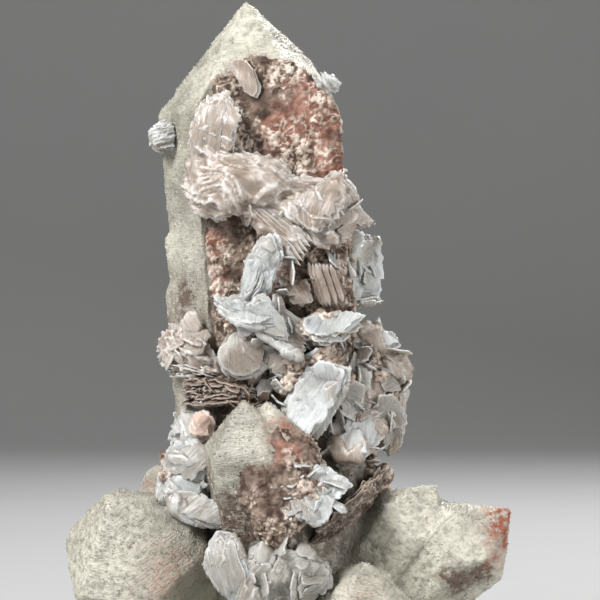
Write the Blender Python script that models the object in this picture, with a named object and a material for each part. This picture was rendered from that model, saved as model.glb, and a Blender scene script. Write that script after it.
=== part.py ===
"""A velvet quartz specimen: one tall quartz point with smaller points round its foot, all coated with
fine druse, a hematite crust in its hollow front, and thin calcite blades grown over the crust.

The quartz crystals are intergrown, so they are one solid. Each calcite cluster is a solid of its own,
because it is another mineral, and it is cut back to a small gap from what it grew on.
Lengths are in millimetres until a mesh is finished, and the finished meshes are in metres.
The front of the specimen faces -Y, and its broken foot lies on z = 0.
"""

import math

import bmesh
import bpy
from mathutils import Matrix, Vector, noise

MM = 0.001

# Driving dimensions, in millimetres
SPECIMEN_HEIGHT = 83.8
MAIN_WIDTH = 22.2
TIP_SLOPE = math.radians(38.2)  # from the crystal's axis to a tip face, which is quartz's own angle
SETTLE_GAP = 0.3  # what one mineral stays clear of the next
TWIN_STEP = 0.5  # how far every second tip face stands out from the others

# Colours are linear and come from the photograph
QUARTZ_COLOUR = (0.50, 0.47, 0.41)
CRUST_COLOUR = (0.33, 0.17, 0.12)
BLADE_COLOUR = (0.72, 0.70, 0.68)
BROWN_COLOUR = (0.30, 0.22, 0.18)
PINK_COLOUR = (0.60, 0.38, 0.31)


def clear_scene():
    for item in list(bpy.data.objects):
        bpy.data.objects.remove(item)


def material(name, colour, roughness):
    made = bpy.data.materials.new(name)
    made.use_nodes = True
    shader = made.node_tree.nodes["Principled BSDF"]
    shader.inputs["Base Color"].default_value = (*colour, 1.0)
    shader.inputs["Roughness"].default_value = roughness
    shader.inputs["Metallic"].default_value = 0.0
    return made


def bisect(bm, point, normal):
    """Cuts off what lies beyond the plane and closes the cut."""
    everything = bm.verts[:] + bm.edges[:] + bm.faces[:]
    bmesh.ops.bisect_plane(
        bm, geom=everything, dist=1e-5, plane_co=point, plane_no=normal, clear_outer=True
    )
    rim = [edge for edge in bm.edges if edge.is_boundary]
    if rim:
        bmesh.ops.edgeloop_fill(bm, edges=rim)


def outwards(bm):
    """Turns the faces of a closed mesh so that they all face outwards."""
    if bm.calc_volume(signed=True) < 0:
        bmesh.ops.reverse_faces(bm, faces=bm.faces)
    return bm


def crystal(foot, tip, sides, turn=0.0, apex=0.0, twin_step=TWIN_STEP):
    """A six-sided quartz point. sides are the distances from its axis to the prism faces, from the front face
    anticlockwise seen from the tip. apex moves the point of the tip sideways, to the right in front."""

    def build(grow=0.0):
        axis = (Vector(tip) - Vector(foot)).normalized()
        front = Vector((0, -1, 0))
        front = (front - axis * front.dot(axis)).normalized()
        across = axis.cross(front)
        peak = Vector(tip) + across * apex
        bm = bmesh.new()
        bmesh.ops.create_cube(bm, size=2.0 * SPECIMEN_HEIGHT)
        bmesh.ops.translate(bm, vec=(Vector(tip) + Vector(foot)) / 2, verts=bm.verts)
        for k, reach in enumerate(sides):
            normal = Matrix.Rotation(math.radians(turn + 60 * k), 3, axis) @ front
            bisect(bm, Vector(foot) + normal * (reach + grow), normal)
            tip_normal = normal * math.cos(TIP_SLOPE) + axis * math.sin(TIP_SLOPE)
            step = twin_step if k % 2 else 0.0
            bisect(bm, peak + tip_normal * (step + grow), tip_normal)
        bisect(bm, Vector(foot) - axis * grow, -axis)
        return bm

    return build


def boulder(middle, size, seed, rough=0.14):
    """A lump with broken, flat sides."""

    def build(grow=0.0):
        bm = bmesh.new()
        bmesh.ops.create_icosphere(bm, subdivisions=1, radius=1.0)
        for vert in bm.verts:
            swell = 1.0 + rough * noise.noise(vert.co * 2.3 + Vector((seed, 0, 0)))
            vert.co = [
                centre + direction * (half * swell + grow)
                for centre, direction, half in zip(middle, vert.co, size)
            ]
        return bm

    return build


def smooth_rim(rim, between):
    """The closed outline with more points between its own, on a smooth curve through them."""
    points = [Vector(point) for point in rim]
    count = len(points)
    curve = []
    for k in range(count):
        before, start, end, after = (points[(k + step) % count] for step in (-1, 0, 1, 2))
        for j in range(between):
            t = j / between
            curve.append(
                0.5
                * (
                    2 * start
                    + (end - before) * t
                    + (2 * before - 5 * start + 4 * end - after) * t**2
                    + (3 * start - before - 3 * end + after) * t**3
                )
            )
    return curve


def plate(rim, depth, lean=(0.0, 0.0), thick=0.9, bow=0.0, rough=0.0, view="front", rings=4, between=1):
    """A thin crystal that is thickest in its middle and runs out to a sharp rim.

    rim is its outline, anticlockwise as the view sees it: (x, z) from the front or (x, y) from the top.
    depth is the y, or the z, of its middle, and lean how much that grows with each step along the outline's
    first and second axis. bow pushes the middle out, and rough is the height of the lumps on it."""

    def build(grow=0.0):
        outline = smooth_rim(rim, between)
        count = len(outline)
        middle = sum(outline, Vector((0, 0))) / count
        if view == "front":
            centre = Vector((middle.x, depth, middle.y))
            across, up = Vector((1, lean[0], 0)), Vector((0, lean[1], 1))
        else:
            centre = Vector((middle.x, middle.y, depth))
            across, up = Vector((1, 0, lean[0])), Vector((0, 1, lean[1]))
        normal = across.cross(up).normalized()
        bm = bmesh.new()
        bmesh.ops.create_uvsphere(bm, u_segments=count, v_segments=rings, radius=1.0)
        for vert in bm.verts:
            reach = math.hypot(vert.co.x, vert.co.y)
            angle = math.atan2(vert.co.y, vert.co.x) - math.pi / 2
            arm = outline[round(angle / (2 * math.pi) * count) % count] - middle
            arm = arm * reach * (arm.length + grow) / arm.length
            height = vert.co.z * (thick / 2 + grow) + bow * (1 - reach**2)
            place = centre + across * arm.x + up * arm.y
            if rough:
                height += rough * noise.noise(place * 0.55) * (1 - reach**4)
            vert.co = place + normal * height
        return outwards(bm)

    return build


def disc(middle, facing, size, turn=0.0, thick=0.9, bow=0.3, corners=7, seed=0):
    """A rounded blade with a wandering outline, whose middle and facing are given in space."""

    def build(grow=0.0):
        normal = Vector(facing).normalized()
        across = Vector((0, 0, 1)).cross(normal)
        across = across.normalized() if across.length > 0.1 else Vector((1, 0, 0))
        across = Matrix.Rotation(math.radians(turn), 3, normal) @ across
        up = normal.cross(across)
        bm = bmesh.new()
        bmesh.ops.create_uvsphere(bm, u_segments=corners, v_segments=4, radius=1.0)
        for vert in bm.verts:
            reach = math.hypot(vert.co.x, vert.co.y)
            angle = math.atan2(vert.co.y, vert.co.x)
            swell = 1.0 + 0.16 * noise.noise(
                Vector((2 * math.cos(angle) + 5 * seed, 2 * math.sin(angle), seed))
            )
            arm = reach * swell
            height = vert.co.z * (thick / 2 + grow) + bow * (1 - reach**2)
            vert.co = (
                Vector(middle)
                + across * math.cos(angle) * arm * (size[0] + grow)
                + up * math.sin(angle) * arm * (size[1] + grow)
                + normal * height
            )
        return outwards(bm)

    return build


def lath(start, end, width, thick, facing=(0.0, -1.0, 0.0)):
    """A narrow blade from start to end, pointed at both."""

    def build(grow=0.0):
        along = Vector(end) - Vector(start)
        length = along.length
        along.normalize()
        normal = Vector(facing)
        normal = (normal - along * normal.dot(along)).normalized()
        side = normal.cross(along)
        bm = bmesh.new()
        bmesh.ops.create_uvsphere(bm, u_segments=6, v_segments=4, radius=1.0)
        for vert in bm.verts:
            vert.co = (
                (Vector(start) + Vector(end)) / 2
                + along * vert.co.y * (length / 2 + grow)
                + side * vert.co.x * (width / 2 + grow) * 1.15
                + normal * vert.co.z * (thick / 2 + grow)
            )
        return outwards(bm)

    return build


def block(low, high):
    """A box between two corners, for cutting."""
    bm = bmesh.new()
    bmesh.ops.create_cube(bm, size=1.0)
    for vert in bm.verts:
        vert.co = [(lo + hi) / 2 + side * (hi - lo) for lo, hi, side in zip(low, high, vert.co)]
    return bm


def placed(name, bm):
    """An object in the scene from a mesh in millimetres."""
    bmesh.ops.scale(bm, vec=(MM, MM, MM), verts=bm.verts)
    mesh = bpy.data.meshes.new(name)
    bm.to_mesh(mesh)
    bm.free()
    made = bpy.data.objects.new(name, mesh)
    bpy.context.scene.collection.objects.link(made)
    return made


def keep_largest(mesh):
    """Leaves only the largest of the mesh's separate bodies."""
    bm = bmesh.new()
    bm.from_mesh(mesh)
    waiting, bodies = set(bm.verts), []
    while waiting:
        body, edge_of = set(), [waiting.pop()]
        while edge_of:
            vert = edge_of.pop()
            body.add(vert)
            for edge in vert.link_edges:
                other = edge.other_vert(vert)
                if other in waiting:
                    waiting.remove(other)
                    edge_of.append(other)
        bodies.append(body)
    bodies.sort(key=len)
    for body in bodies[:-1]:
        bmesh.ops.delete(bm, geom=list(body), context="VERTS")
    bm.to_mesh(mesh)
    bm.free()


def combine(body, operation, shapes):
    """Joins the shapes to the body, or cuts them from it, and keeps the body's largest piece."""
    helpers = bpy.data.collections.new("helpers")
    bpy.context.scene.collection.children.link(helpers)
    for bm in shapes:
        helper = placed("helper", bm)
        bpy.context.scene.collection.objects.unlink(helper)
        helpers.objects.link(helper)
    boolean = body.modifiers.new(operation.lower(), "BOOLEAN")
    boolean.operation = operation
    boolean.operand_type = "COLLECTION"
    boolean.collection = helpers
    graph = bpy.context.evaluated_depsgraph_get()
    mesh = bpy.data.meshes.new_from_object(body.evaluated_get(graph), depsgraph=graph)
    body.modifiers.clear()
    body.data = mesh
    for helper in list(helpers.objects):
        bpy.data.objects.remove(helper)
    bpy.data.collections.remove(helpers)
    keep_largest(mesh)


def near(first, second):
    """Whether the boxes of two objects come within a few gaps of each other."""
    lows, highs = [], []
    for item in (first, second):
        places = [vert.co for vert in item.data.vertices]
        lows.append([min(place[axis] for place in places) for axis in range(3)])
        highs.append([max(place[axis] for place in places) for axis in range(3)])
    room = 3 * SETTLE_GAP * MM
    return all(
        highs[a][axis] + room > lows[1 - a][axis] for axis in range(3) for a in range(2)
    )


grown = []  # every finished piece with the shapes that a later piece is cut by


def grow_piece(name, shapes, finish):
    """Joins the shapes in one solid, and cuts it back from every piece that was there before it."""
    body = placed(name, shapes[0]())
    combine(body, "UNION", [shape() for shape in shapes[1:]])
    for earlier, earlier_shapes in grown:
        if near(body, earlier):
            combine(body, "DIFFERENCE", [shape(SETTLE_GAP) for shape in earlier_shapes])
    body.data.materials.clear()
    body.data.materials.append(finish)
    grown.append((body, shapes))
    return body


clear_scene()
quartz_finish = material("velvet_quartz", QUARTZ_COLOUR, 0.6)
crust_finish = material("hematite_crust", CRUST_COLOUR, 0.85)
blade_finish = material("calcite_blade", BLADE_COLOUR, 0.35)
brown_finish = material("brown_calcite", BROWN_COLOUR, 0.7)
pink_finish = material("pink_calcite", PINK_COLOUR, 0.5)

# The quartz: a tall point that leans a little to the left, and shorter points that fan out round its foot
MAIN_SIDES = (8.3, MAIN_WIDTH / 2 + 0.6, 7.1, 7.5, 9.5, MAIN_WIDTH / 2 - 1.1)
main_point = crystal((6.4, 0, -1), (-1.5, 0, SPECIMEN_HEIGHT), MAIN_SIDES, apex=0.9, twin_step=0.25)
left_point = crystal((-9.0, 8.0, 4.0), (-16.9, -14.0, 22.6), (8.4, 8.8, 8.0, 8.0, 8.6, 8.4), turn=24)
left_small_point = crystal((-7.0, -2, 8), (-9.6, -9.4, 22.2), (2.6, 2.4, 2.6, 2.8, 2.8, 2.6), turn=20)
right_inner_point = crystal((6.5, 1, 0), (23.0, -9.0, 24.0), (4.6, 4.4, 4.6, 4.8, 4.6, 4.8), turn=-10)
right_outer_point = crystal((10, 3, 1), (31.8, -11.0, 21.0), (5.2, 4.8, 5.2, 6.2, 6.0, 5.6), turn=-14)
right_front_point = crystal((13, -2, -4), (14.1, -17.5, 15.0), (5.4, 5.6, 5.2, 5.0, 5.4, 5.2), turn=8)
right_low_point = crystal((18, -1, -4), (24.8, -13.0, 8.6), (5.6, 5.2, 5.4, 5.6, 5.2, 5.4), turn=26)
front_point = crystal((3.0, -5, 8), (-0.6, -14.6, 34.6), (4.8, 5.6, 4.8, 4.6, 5.0, 5.2), turn=-16)
front_twin_point = crystal((6.2, -4, 8), (2.1, -13.8, 34.4), (4.6, 5.2, 4.8, 4.6, 4.2, 4.8), turn=-16)
left_low_point = crystal((-10, -1, -4), (-17.5, -13.0, 7.4), (6.0, 5.6, 5.8, 6.0, 5.6, 5.8), turn=-8)
middle_low_point = crystal((3, -2, -6), (3.0, -15.5, 8.4), (5.4, 5.0, 5.2, 5.4, 5.0, 5.2), turn=14)
back_left_point = crystal((0, 2, 0), (-13.0, 15.5, 25.0), (5.6, 5.2, 5.4, 5.6, 5.4, 5.2), turn=10)
back_right_point = crystal((8, 2, 0), (21.0, 14.5, 19.0), (5.2, 5.6, 5.4, 5.2, 5.4, 5.6), turn=-20)
back_middle_point = crystal((5, 3, 0), (6.0, 15.5, 31.0), (4.4, 4.0, 4.2, 4.4, 4.2, 4.0), turn=6)
base_lumps = [
    boulder((-3, 1, 2), (17, 12, 9), 1),
    boulder((14, 1, 2), (15, 11.5, 9), 2),
    boulder((6, 3, 10), (12, 9, 11), 3),
    boulder((-11, 4, 7.5), (9.5, 9, 9), 4),
]

# Thicker druse on the left of the tall point: steps that end in short slanting tips of their own
overgrowths = [
    crystal((-2.6, -0.4, 36), (-5.7, -0.4, 61.2), (4.8, 3.6, 4.0, 4.0, 4.8, 5.3), twin_step=0.1),
    crystal((-4.6, -0.6, 36), (-6.6, -0.6, 53.4), (3.4, 3.0, 3.0, 3.0, 4.2, 4.0), twin_step=0.1),
    crystal((-4.0, 0.4, 26), (-6.0, 0.4, 47.6), (4.0, 3.0, 4.0, 4.0, 3.9, 4.3), twin_step=0.1),
]

# The front of the tall point is etched into a hollow under a lip, from the tip face down
HOLLOW_FLOOR = -7.1
HOLLOW_RIM = [
    (13.5, 60), (13.0, 69), (9.6, 72.6), (7.6, 74.4), (4.6, 76.4), (1.6, 77.0),
    (-2.4, 75.6), (-4.6, 74.0), (-5.6, 71.0), (-6.1, 62), (-5.6, 52), (-4.9, 44), (-4.2, 30), (14, 30),
]


def hollow(grow=0.0):
    """What is cut from the tall point's front, smaller when the point itself is grown."""
    bm = bmesh.new()
    near_y, floor_y = -14.0, HOLLOW_FLOOR - grow
    rings = [[bm.verts.new((x, y, z)) for x, z in HOLLOW_RIM] for y in (near_y, floor_y)]
    edges = [bm.edges.new((ring[k - 1], ring[k])) for ring in rings for k in range(len(ring))]
    bmesh.ops.bridge_loops(bm, edges=edges)
    for ring in rings:
        bm.faces.new(ring)
    bmesh.ops.recalc_face_normals(bm, faces=bm.faces)
    return outwards(bm)


def quartz_shape():
    points = [
        left_point, left_small_point, right_inner_point, right_outer_point, right_front_point,
        right_low_point, front_point, front_twin_point, left_low_point, middle_low_point,
        back_left_point, back_right_point, back_middle_point, *base_lumps, *overgrowths,
    ]
    return points


quartz = placed("quartz_cluster", main_point())
combine(quartz, "DIFFERENCE", [hollow()])
combine(quartz, "UNION", [shape() for shape in quartz_shape()])
combine(quartz, "DIFFERENCE", [block((-80, -80, -60), (80, 80, 0))])
quartz.data.materials.clear()
quartz.data.materials.append(quartz_finish)


def grown_main(grow=0.0):
    """The tall point with its hollow, as later pieces are cut by it."""
    body = placed("grown_main", main_point(grow))
    combine(body, "DIFFERENCE", [hollow(grow)])
    bm = bmesh.new()
    bm.from_mesh(body.data)
    bmesh.ops.scale(bm, vec=(1 / MM, 1 / MM, 1 / MM), verts=bm.verts)
    bpy.data.objects.remove(body)
    return bm


grown.append((quartz, [grown_main, *quartz_shape()]))

# The hematite crust on the hollow's floor, and the thicker one on the small front point
CRUST_RIM = [
    (11.3, 62), (10.6, 69.5), (8.6, 72.4), (6.4, 74.6), (3.6, 75.8), (0.6, 76.2),
    (-2.6, 74.6), (-4.6, 72.8), (-5.5, 68), (-5.6, 60), (-5.3, 52), (-4.6, 44), (-3.2, 38),
    (2.0, 36.6), (8.0, 37.2), (12.4, 40), (12.8, 48), (12.0, 56),
]
grow_piece(
    "front_crust",
    [plate(CRUST_RIM, -7.2, thick=3.0, rough=1.1, rings=8, between=2)],
    crust_finish,
)
SMALL_CRUST_RIM = [
    (8.6, 27.0), (7.6, 29.6), (5.6, 31.2), (3.0, 31.4), (0.9, 29.6), (-0.6, 26.8),
    (-1.0, 23.6), (0.4, 19.8), (2.4, 17.0), (4.6, 17.6), (7.4, 19.6), (9.6, 22.0), (9.8, 25.0),
]
grow_piece(
    "small_point_crust",
    [plate(SMALL_CRUST_RIM, -14.6, lean=(0.1, 0.22), thick=7.6, rough=1.6, rings=6, between=2)],
    crust_finish,
)

# The tuft of calcite on the left shoulder, a book of short upright leaves, and the lobe on the right one
grow_piece(
    "left_shoulder_tuft",
    [
        plate(
            [(-8.6, 67.0), (-9.0, 68.6), (-10.6, 68.8), (-11.6, 68.4), (-12.5, 67.4),
             (-12.5, 66.0), (-11.8, 65.0), (-10.4, 64.6), (-9.0, 65.2)],
            y, lean=(0.15, 0.0), thick=1.8, rough=0.2,
        )
        for y in (-4.2, -2.7, -1.2)
    ],
    blade_finish,
)
grow_piece(
    "right_shoulder_lobe",
    [
        plate(
            [(10.9, 73.0), (10.4, 74.0), (9.2, 74.5), (8.4, 73.8), (8.6, 72.6), (9.6, 71.8), (10.6, 72.0)],
            -6.6, lean=(0.9, 0.2), thick=2.4, bow=0.3,
        ),
        plate([(10.6, 73.2), (9.4, 74.2), (8.2, 73.4), (8.6, 72.2), (10.0, 72.0)], -4.8, thick=2.6),
    ],
    blade_finish,
)

# The veil: broad soft blades that hang over the crust's upper half
VEIL_DOME = [
    (6.3, 60.9), (4.4, 63.8), (1.5, 64.4), (-1.2, 64.8), (-3.5, 64.6), (-6.2, 64.2), (-7.4, 62.1),
    (-7.3, 59.0), (-5.9, 56.9), (-3.1, 56.2), (0.0, 57.2), (3.8, 58.2),
]
veil = [
    plate(VEIL_DOME, -9.6, lean=(0.0, 0.12), thick=3.4, bow=1.3),
    plate(
        [(12.5, 58.4), (10.5, 61.2), (7.0, 61.8), (3.0, 61.4), (0.0, 60.0), (-1.6, 57.4), (2.0, 55.4),
         (6.0, 54.2), (9.6, 54.0), (12.0, 55.6)],
        -9.3, lean=(0.06, 0.1), thick=2.0, bow=0.3,
    ),
    plate(
        [(-1.0, 62.0), (-3.0, 64.6), (-6.4, 65.2), (-8.0, 63.4), (-8.2, 60.0), (-6.6, 57.0), (-3.0, 55.6)],
        -8.8, lean=(-0.1, 0.1), thick=1.2, bow=0.3,
    ),
    plate(
        [(-2.7, 69.2), (-2.2, 72.2), (-4.4, 71.6), (-5.9, 71.0), (-6.8, 68.4), (-7.5, 65.4),
         (-6.6, 62.6), (-4.4, 62.2), (-3.0, 65.2)],
        -9.4, lean=(-0.3, 0.04), thick=1.6, bow=0.6,
    ),
    plate(
        [(-0.5, 69.2), (-1.5, 70.6), (-2.1, 71.6), (-3.0, 70.2), (-3.5, 67.1), (-3.8, 63.4),
         (-2.6, 63.2), (-1.7, 65.6), (-1.2, 67.8)],
        -10.6, lean=(-0.55, 0.1), thick=0.9, bow=0.3,
    ),
    plate(
        [(11.9, 62.4), (10.0, 61.6), (8.0, 60.2), (6.0, 59.0), (3.6, 58.6), (4.4, 56.6), (7.8, 54.2),
         (9.5, 55.4), (11.0, 56.4), (11.8, 59.2)],
        -10.8, lean=(-0.1, 0.32), thick=1.5, bow=0.8,
    ),
    plate(
        [(15.6, 55.8), (14.2, 56.8), (13.5, 58.6), (12.8, 60.4), (11.8, 61.9), (10.2, 62.2), (9.6, 59.6),
         (10.4, 56.8), (12.4, 55.4), (14.0, 54.9)],
        -7.0, lean=(0.45, 0.1), thick=1.1, bow=0.3,
    ),
    plate(
        [(12.6, 60.0), (12.0, 61.6), (10.4, 62.6), (8.2, 61.0), (7.4, 58.4), (9.6, 56.4), (12.0, 57.2)],
        -8.6, lean=(0.2, 0.3), thick=1.0, bow=0.4,
    ),
    plate(
        [(11.3, 54.2), (10.0, 55.6), (8.4, 55.9), (6.8, 54.9), (7.6, 53.4), (9.4, 52.6), (10.8, 53.2)],
        -10.4, lean=(-0.2, -0.4), thick=0.9,
    ),
    *[
        lath(
            (-1.6 + 1.5 * k, -10.3 + 0.13 * k, 58.4 - 0.27 * k),
            (6.4 + 0.67 * k, -11.8 + 0.4 * k, 50.6 + 1.27 * k),
            1.7, 0.6, facing=(-0.5, -1.0, -0.3),
        )
        for k in range(4)
    ],
]
grow_piece("veil_blades", veil, blade_finish)

# The butterfly: two wings that meet in a ridge, with a comb of laths running out of it
butterfly = [
    plate(
        [(4.3, 53.0), (3.1, 54.8), (1.5, 54.0), (-0.2, 51.8), (-1.1, 49.0), (-1.3, 46.4), (0.6, 45.8),
         (2.5, 47.0), (3.3, 49.4), (4.1, 51.2)],
        -11.8, lean=(-0.32, -0.12), thick=1.4, bow=0.5,
    ),
    plate(
        [(3.4, 45.6), (2.4, 47.2), (0.6, 47.7), (-1.3, 46.9), (-3.1, 46.6), (-4.6, 46.6), (-3.5, 44.9),
         (-1.9, 43.7), (0.0, 43.0), (2.0, 42.9), (3.4, 43.8)],
        -12.4, lean=(0.15, 0.75), thick=1.1, bow=0.2,
    ),
    plate(
        [(4.6, 43.6), (3.0, 46.2), (1.2, 47.0), (-0.6, 45.8), (1.2, 43.6), (3.0, 42.0), (5.0, 41.4)],
        -13.0, lean=(0.3, -0.2), thick=0.8,
    ),
    *[
        lath(
            (0.0 + 0.67 * k, -13.0 + 0.67 * k, 43.6 + 0.93 * k),
            (6.6 + 0.33 * k, -13.0 + 0.93 * k, 39.4 + 1.0 * k),
            1.6, 0.55, facing=(0.3, -1.0, 0.5),
        )
        for k in range(4)
    ],
    plate(
        [(3.1, 40.2), (2.3, 42.2), (0.0, 43.4), (-2.3, 42.8), (-3.5, 41.5), (-4.4, 39.6), (-3.5, 37.7),
         (-1.3, 36.4), (1.0, 36.8), (2.6, 38.1)],
        -11.0, lean=(0.08, 0.22), thick=2.2, bow=0.7,
    ),
    plate(
        [(6.6, 39.4), (5.6, 41.0), (3.8, 41.6), (1.6, 41.0), (1.8, 38.4), (3.5, 37.0), (5.4, 37.4)],
        -10.6, lean=(0.1, 0.15), thick=1.4, bow=0.3,
    ),
    boulder((0.6, -11.0, 43.4), (2.8, 1.5, 2.0), 11, rough=0.4),
]
grow_piece("butterfly_blades", butterfly, blade_finish)

# The white wedge, a single bright blade lying nearly flat, with a thinner one under it
grow_piece(
    "wedge_blade",
    [
        plate(
            [(14.5, 44.3), (12.7, 45.1), (10.6, 45.4), (8.4, 45.2), (6.2, 44.0), (6.6, 42.6), (7.9, 41.4),
             (10.0, 41.8), (12.0, 42.7), (13.3, 43.3)],
            -12.0, lean=(0.2, 0.8), thick=0.9, bow=-0.2,
        ),
        plate(
            [(12.6, 42.4), (10.6, 44.0), (8.0, 43.6), (7.4, 41.8), (9.4, 40.9), (11.4, 41.2)],
            -11.2, lean=(0.2, 0.6), thick=0.8,
        ),
        boulder((9.0, -10.4, 43.0), (2.8, 1.5, 1.9), 12, rough=0.4),
    ],
    pink_finish,
)

# The fluted stack in the cavity above the wedge: upright leaves standing side by side, and a lump by them
grow_piece(
    "fluted_stack",
    [
        *[
            lath((7.3 + 0.85 * k, -9.8, 51.2 - 0.1 * k), (9.3 + 0.75 * k, -9.6, 45.6 + 0.1 * k), 1.3, 2.6)
            for k in range(4)
        ],
        plate(
            [(7.9, 47.6), (7.0, 49.2), (5.4, 49.4), (4.4, 48.0), (4.6, 46.2), (6.2, 45.4), (7.8, 46.0)],
            -9.2, thick=2.6, bow=0.4,
        ),
        boulder((8.0, -8.4, 48.6), (2.8, 1.1, 2.6), 13, rough=0.4),
    ],
    brown_finish,
)

# The fan on the right: grey see-through blades that stand upright, edge forwards
right_fan = [
    plate(
        [(16.5, 51.6), (16.0, 54.0), (14.8, 55.0), (12.5, 54.4), (10.9, 53.2), (10.2, 50.2), (11.0, 47.2),
         (13.7, 46.3), (16.0, 46.4), (16.4, 49.0)],
        -3.6, lean=(0.65, 0.1), thick=1.0, bow=0.3,
    ),
    plate(
        [(12.7, 51.2), (12.1, 53.6), (11.0, 53.8), (9.8, 52.0),
         (9.6, 49.0), (10.6, 46.8), (12.3, 46.6), (12.9, 49)],
        -5.8, lean=(0.9, 0.15), thick=0.9,
    ),
    plate(
        [(15.2, 51.8), (14.6, 53.8), (13.0, 54.2), (11.6, 52.6),
         (11.4, 49.4), (12.2, 46.8), (14.2, 46.8), (15.2, 49)],
        -4.6, lean=(1.6, -0.1), thick=0.8, bow=0.2,
    ),
    plate(
        [(16.9, -2.6), (15.6, 0.4), (12.6, 1.2), (10.6, -1.4), (10.4, -5.6), (12.6, -7.6), (15.6, -6.0)],
        46.4, lean=(-0.02, 0.08), thick=0.8, view="top",
    ),
    disc((13.2, 0.8, 50.4), (0.9, 0.5, 0.1), (4.0, 3.8), thick=1.0, seed=3),
]
grow_piece("right_fan_blades", right_fan, blade_finish)

# The left ledge: a knob of calcite on the tall point's edge with brown leaves under it
grow_piece(
    "left_ledge",
    [
        plate(
            [(-3.8, 38.8), (-5.0, 41.0), (-6.9, 42.6), (-8.8, 43.4), (-10.4, 42.6), (-11.1, 40.8),
             (-10.9, 39.0), (-8.8, 38.0), (-6.2, 37.6)],
            -5.4, lean=(-0.55, 0.1), thick=4.6, bow=0.5, rough=0.8, rings=6,
        ),
        plate(
            [(-3.0, -8.2), (-3.8, -5.0), (-6.6, -1.6), (-9.8, -0.6), (-11.5, -2.8), (-10.6, -6.2),
             (-7.8, -9.0), (-4.8, -9.8)],
            38.1, lean=(-0.1, 0.06), thick=0.8, bow=0.3, view="top",
        ),
        plate(
            [(-3.4, -7.6), (-4.8, -4.0), (-7.6, -1.4), (-9.6, -1.6),
             (-10.2, -4.4), (-8.4, -7.8), (-5.4, -9.0)],
            37.3, lean=(-0.12, 0.06), thick=0.8, bow=0.3, view="top",
        ),
    ],
    blade_finish,
)

# Brown leaves, stained by iron, lying one on another under the ledge
grow_piece(
    "left_brown_leaves",
    [
        plate(
            [(2.0 - 0.3 * k, -9.6), (0.2, -6.4), (-3.4, -4.4), (-6.8, -3.6), (-8.3 + 0.2 * k, -5.4),
             (-7.6, -8.4), (-5.2, -10.6 - 0.2 * k), (-1.6, -11.2)],
            36.3 - 0.78 * k, lean=(-0.07 + 0.05 * k, 0.05), thick=0.95, bow=0.45, view="top",
        )
        for k in range(4)
    ],
    brown_finish,
)

# The single bright blade in the middle, with the edge of a second one showing on its right
CENTRE_RIM = [
    (11.9, 38.8), (10.2, 39.3), (8.5, 39.3), (6.8, 38.2), (5.2, 36.2), (4.2, 33.8), (4.4, 31.7),
    (5.9, 30.4), (7.3, 29.5), (8.8, 31.2), (10.3, 34.0), (11.3, 36.2),
]
grow_piece(
    "centre_blade",
    [
        plate(CENTRE_RIM, -12.4, lean=(-0.42, 0.05), thick=1.1, bow=-0.3),
        plate([(x + 0.75, z - 0.35) for x, z in CENTRE_RIM], -11.6, lean=(-0.42, 0.05), thick=1.1, bow=-0.1),
        boulder((9.6, -9.6, 37.6), (2.6, 2.4, 3.0), 14, rough=0.4),
        boulder((6.0, -9.6, 37.4), (3.0, 2.2, 2.6), 15, rough=0.4),
    ],
    blade_finish,
)

# The stack on the right: broad blades over a lumpy pink mass, and feathery ones between
right_stack = [
    plate(
        [(20.1, 38.0), (19.3, 40.0), (17.8, 40.6), (16.0, 40.2), (14.6, 39.0), (14.0, 37.0), (15.4, 35.2),
         (17.5, 34.8), (19.2, 35.6)],
        -2.6, lean=(0.2, 0.0), thick=5.0, bow=0.8, rough=1.0, rings=6,
    ),
    plate(
        [(19.0, 40.8), (18.2, 41.9), (16.8, 42.5), (15.9, 44.0), (15.2, 43.1), (13.1, 43.3), (11.2, 42.2),
         (12.2, 40.4), (14.4, 40.1), (16.9, 40.0)],
        -4.0, lean=(0.25, 0.7), thick=1.6,
    ),
    plate(
        [(19.5, 32.6), (19.4, 35.0), (18.1, 36.1), (16.2, 35.6), (15.2, 33.4), (15.6, 30.9), (16.2, 28.6),
         (17.3, 27.0), (18.8, 27.4), (19.3, 29.6)],
        -2.0, lean=(0.2, -0.15), thick=1.8, bow=0.5,
    ),
    plate(
        [(17.2, 34.6), (16.2, 37.5), (14.8, 40.0), (13.4, 39.4),
         (12.6, 36.5), (13.4, 33.8), (15.0, 32.6), (16.6, 33.4)],
        -5.8, lean=(0.4, 0.0), thick=1.0, bow=0.3,
    ),
    plate(
        [(15.3, 34.6), (14.0, 37.9), (12.4, 39.5), (11.2, 39.0), (10.2, 36.0), (9.8, 33.2), (11.2, 31.2),
         (13.5, 31.4), (14.9, 32.6)],
        -8.0, lean=(0.2, 0.1), thick=1.1, bow=0.2,
    ),
    plate(
        [(16.9, 30.6), (15.4, 32.6), (13.5, 33.2), (11.2, 32.6), (9.9, 30.9), (9.7, 28.4), (11.0, 26.8),
         (12.8, 26.3), (14.8, 27.4), (16.2, 28.9)],
        -9.0, lean=(0.15, 0.25), thick=1.5, bow=0.4,
    ),
    plate(
        [(14.6, 29.4), (13.4, 31.0), (11.4, 30.8), (10.4, 29.0), (11.2, 27.2), (13.2, 26.8), (14.6, 27.9)],
        -10.4, lean=(-0.4, 0.3), thick=0.8,
    ),
    boulder((14.8, -4.0, 34.2), (3.2, 4.2, 6.4), 16, rough=0.4),
    boulder((12.6, -7.4, 30.4), (2.4, 2.0, 3.4), 17, rough=0.4),
    disc((15.6, 2.2, 35.0), (0.6, 0.8, 0.1), (4.6, 4.0), thick=1.4, seed=5),
    disc((14.8, -1.0, 31.6), (0.9, -0.1, -0.3), (4.4, 4.6), thick=2.4, seed=6),
]
grow_piece("right_stack", right_stack, blade_finish)

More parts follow.
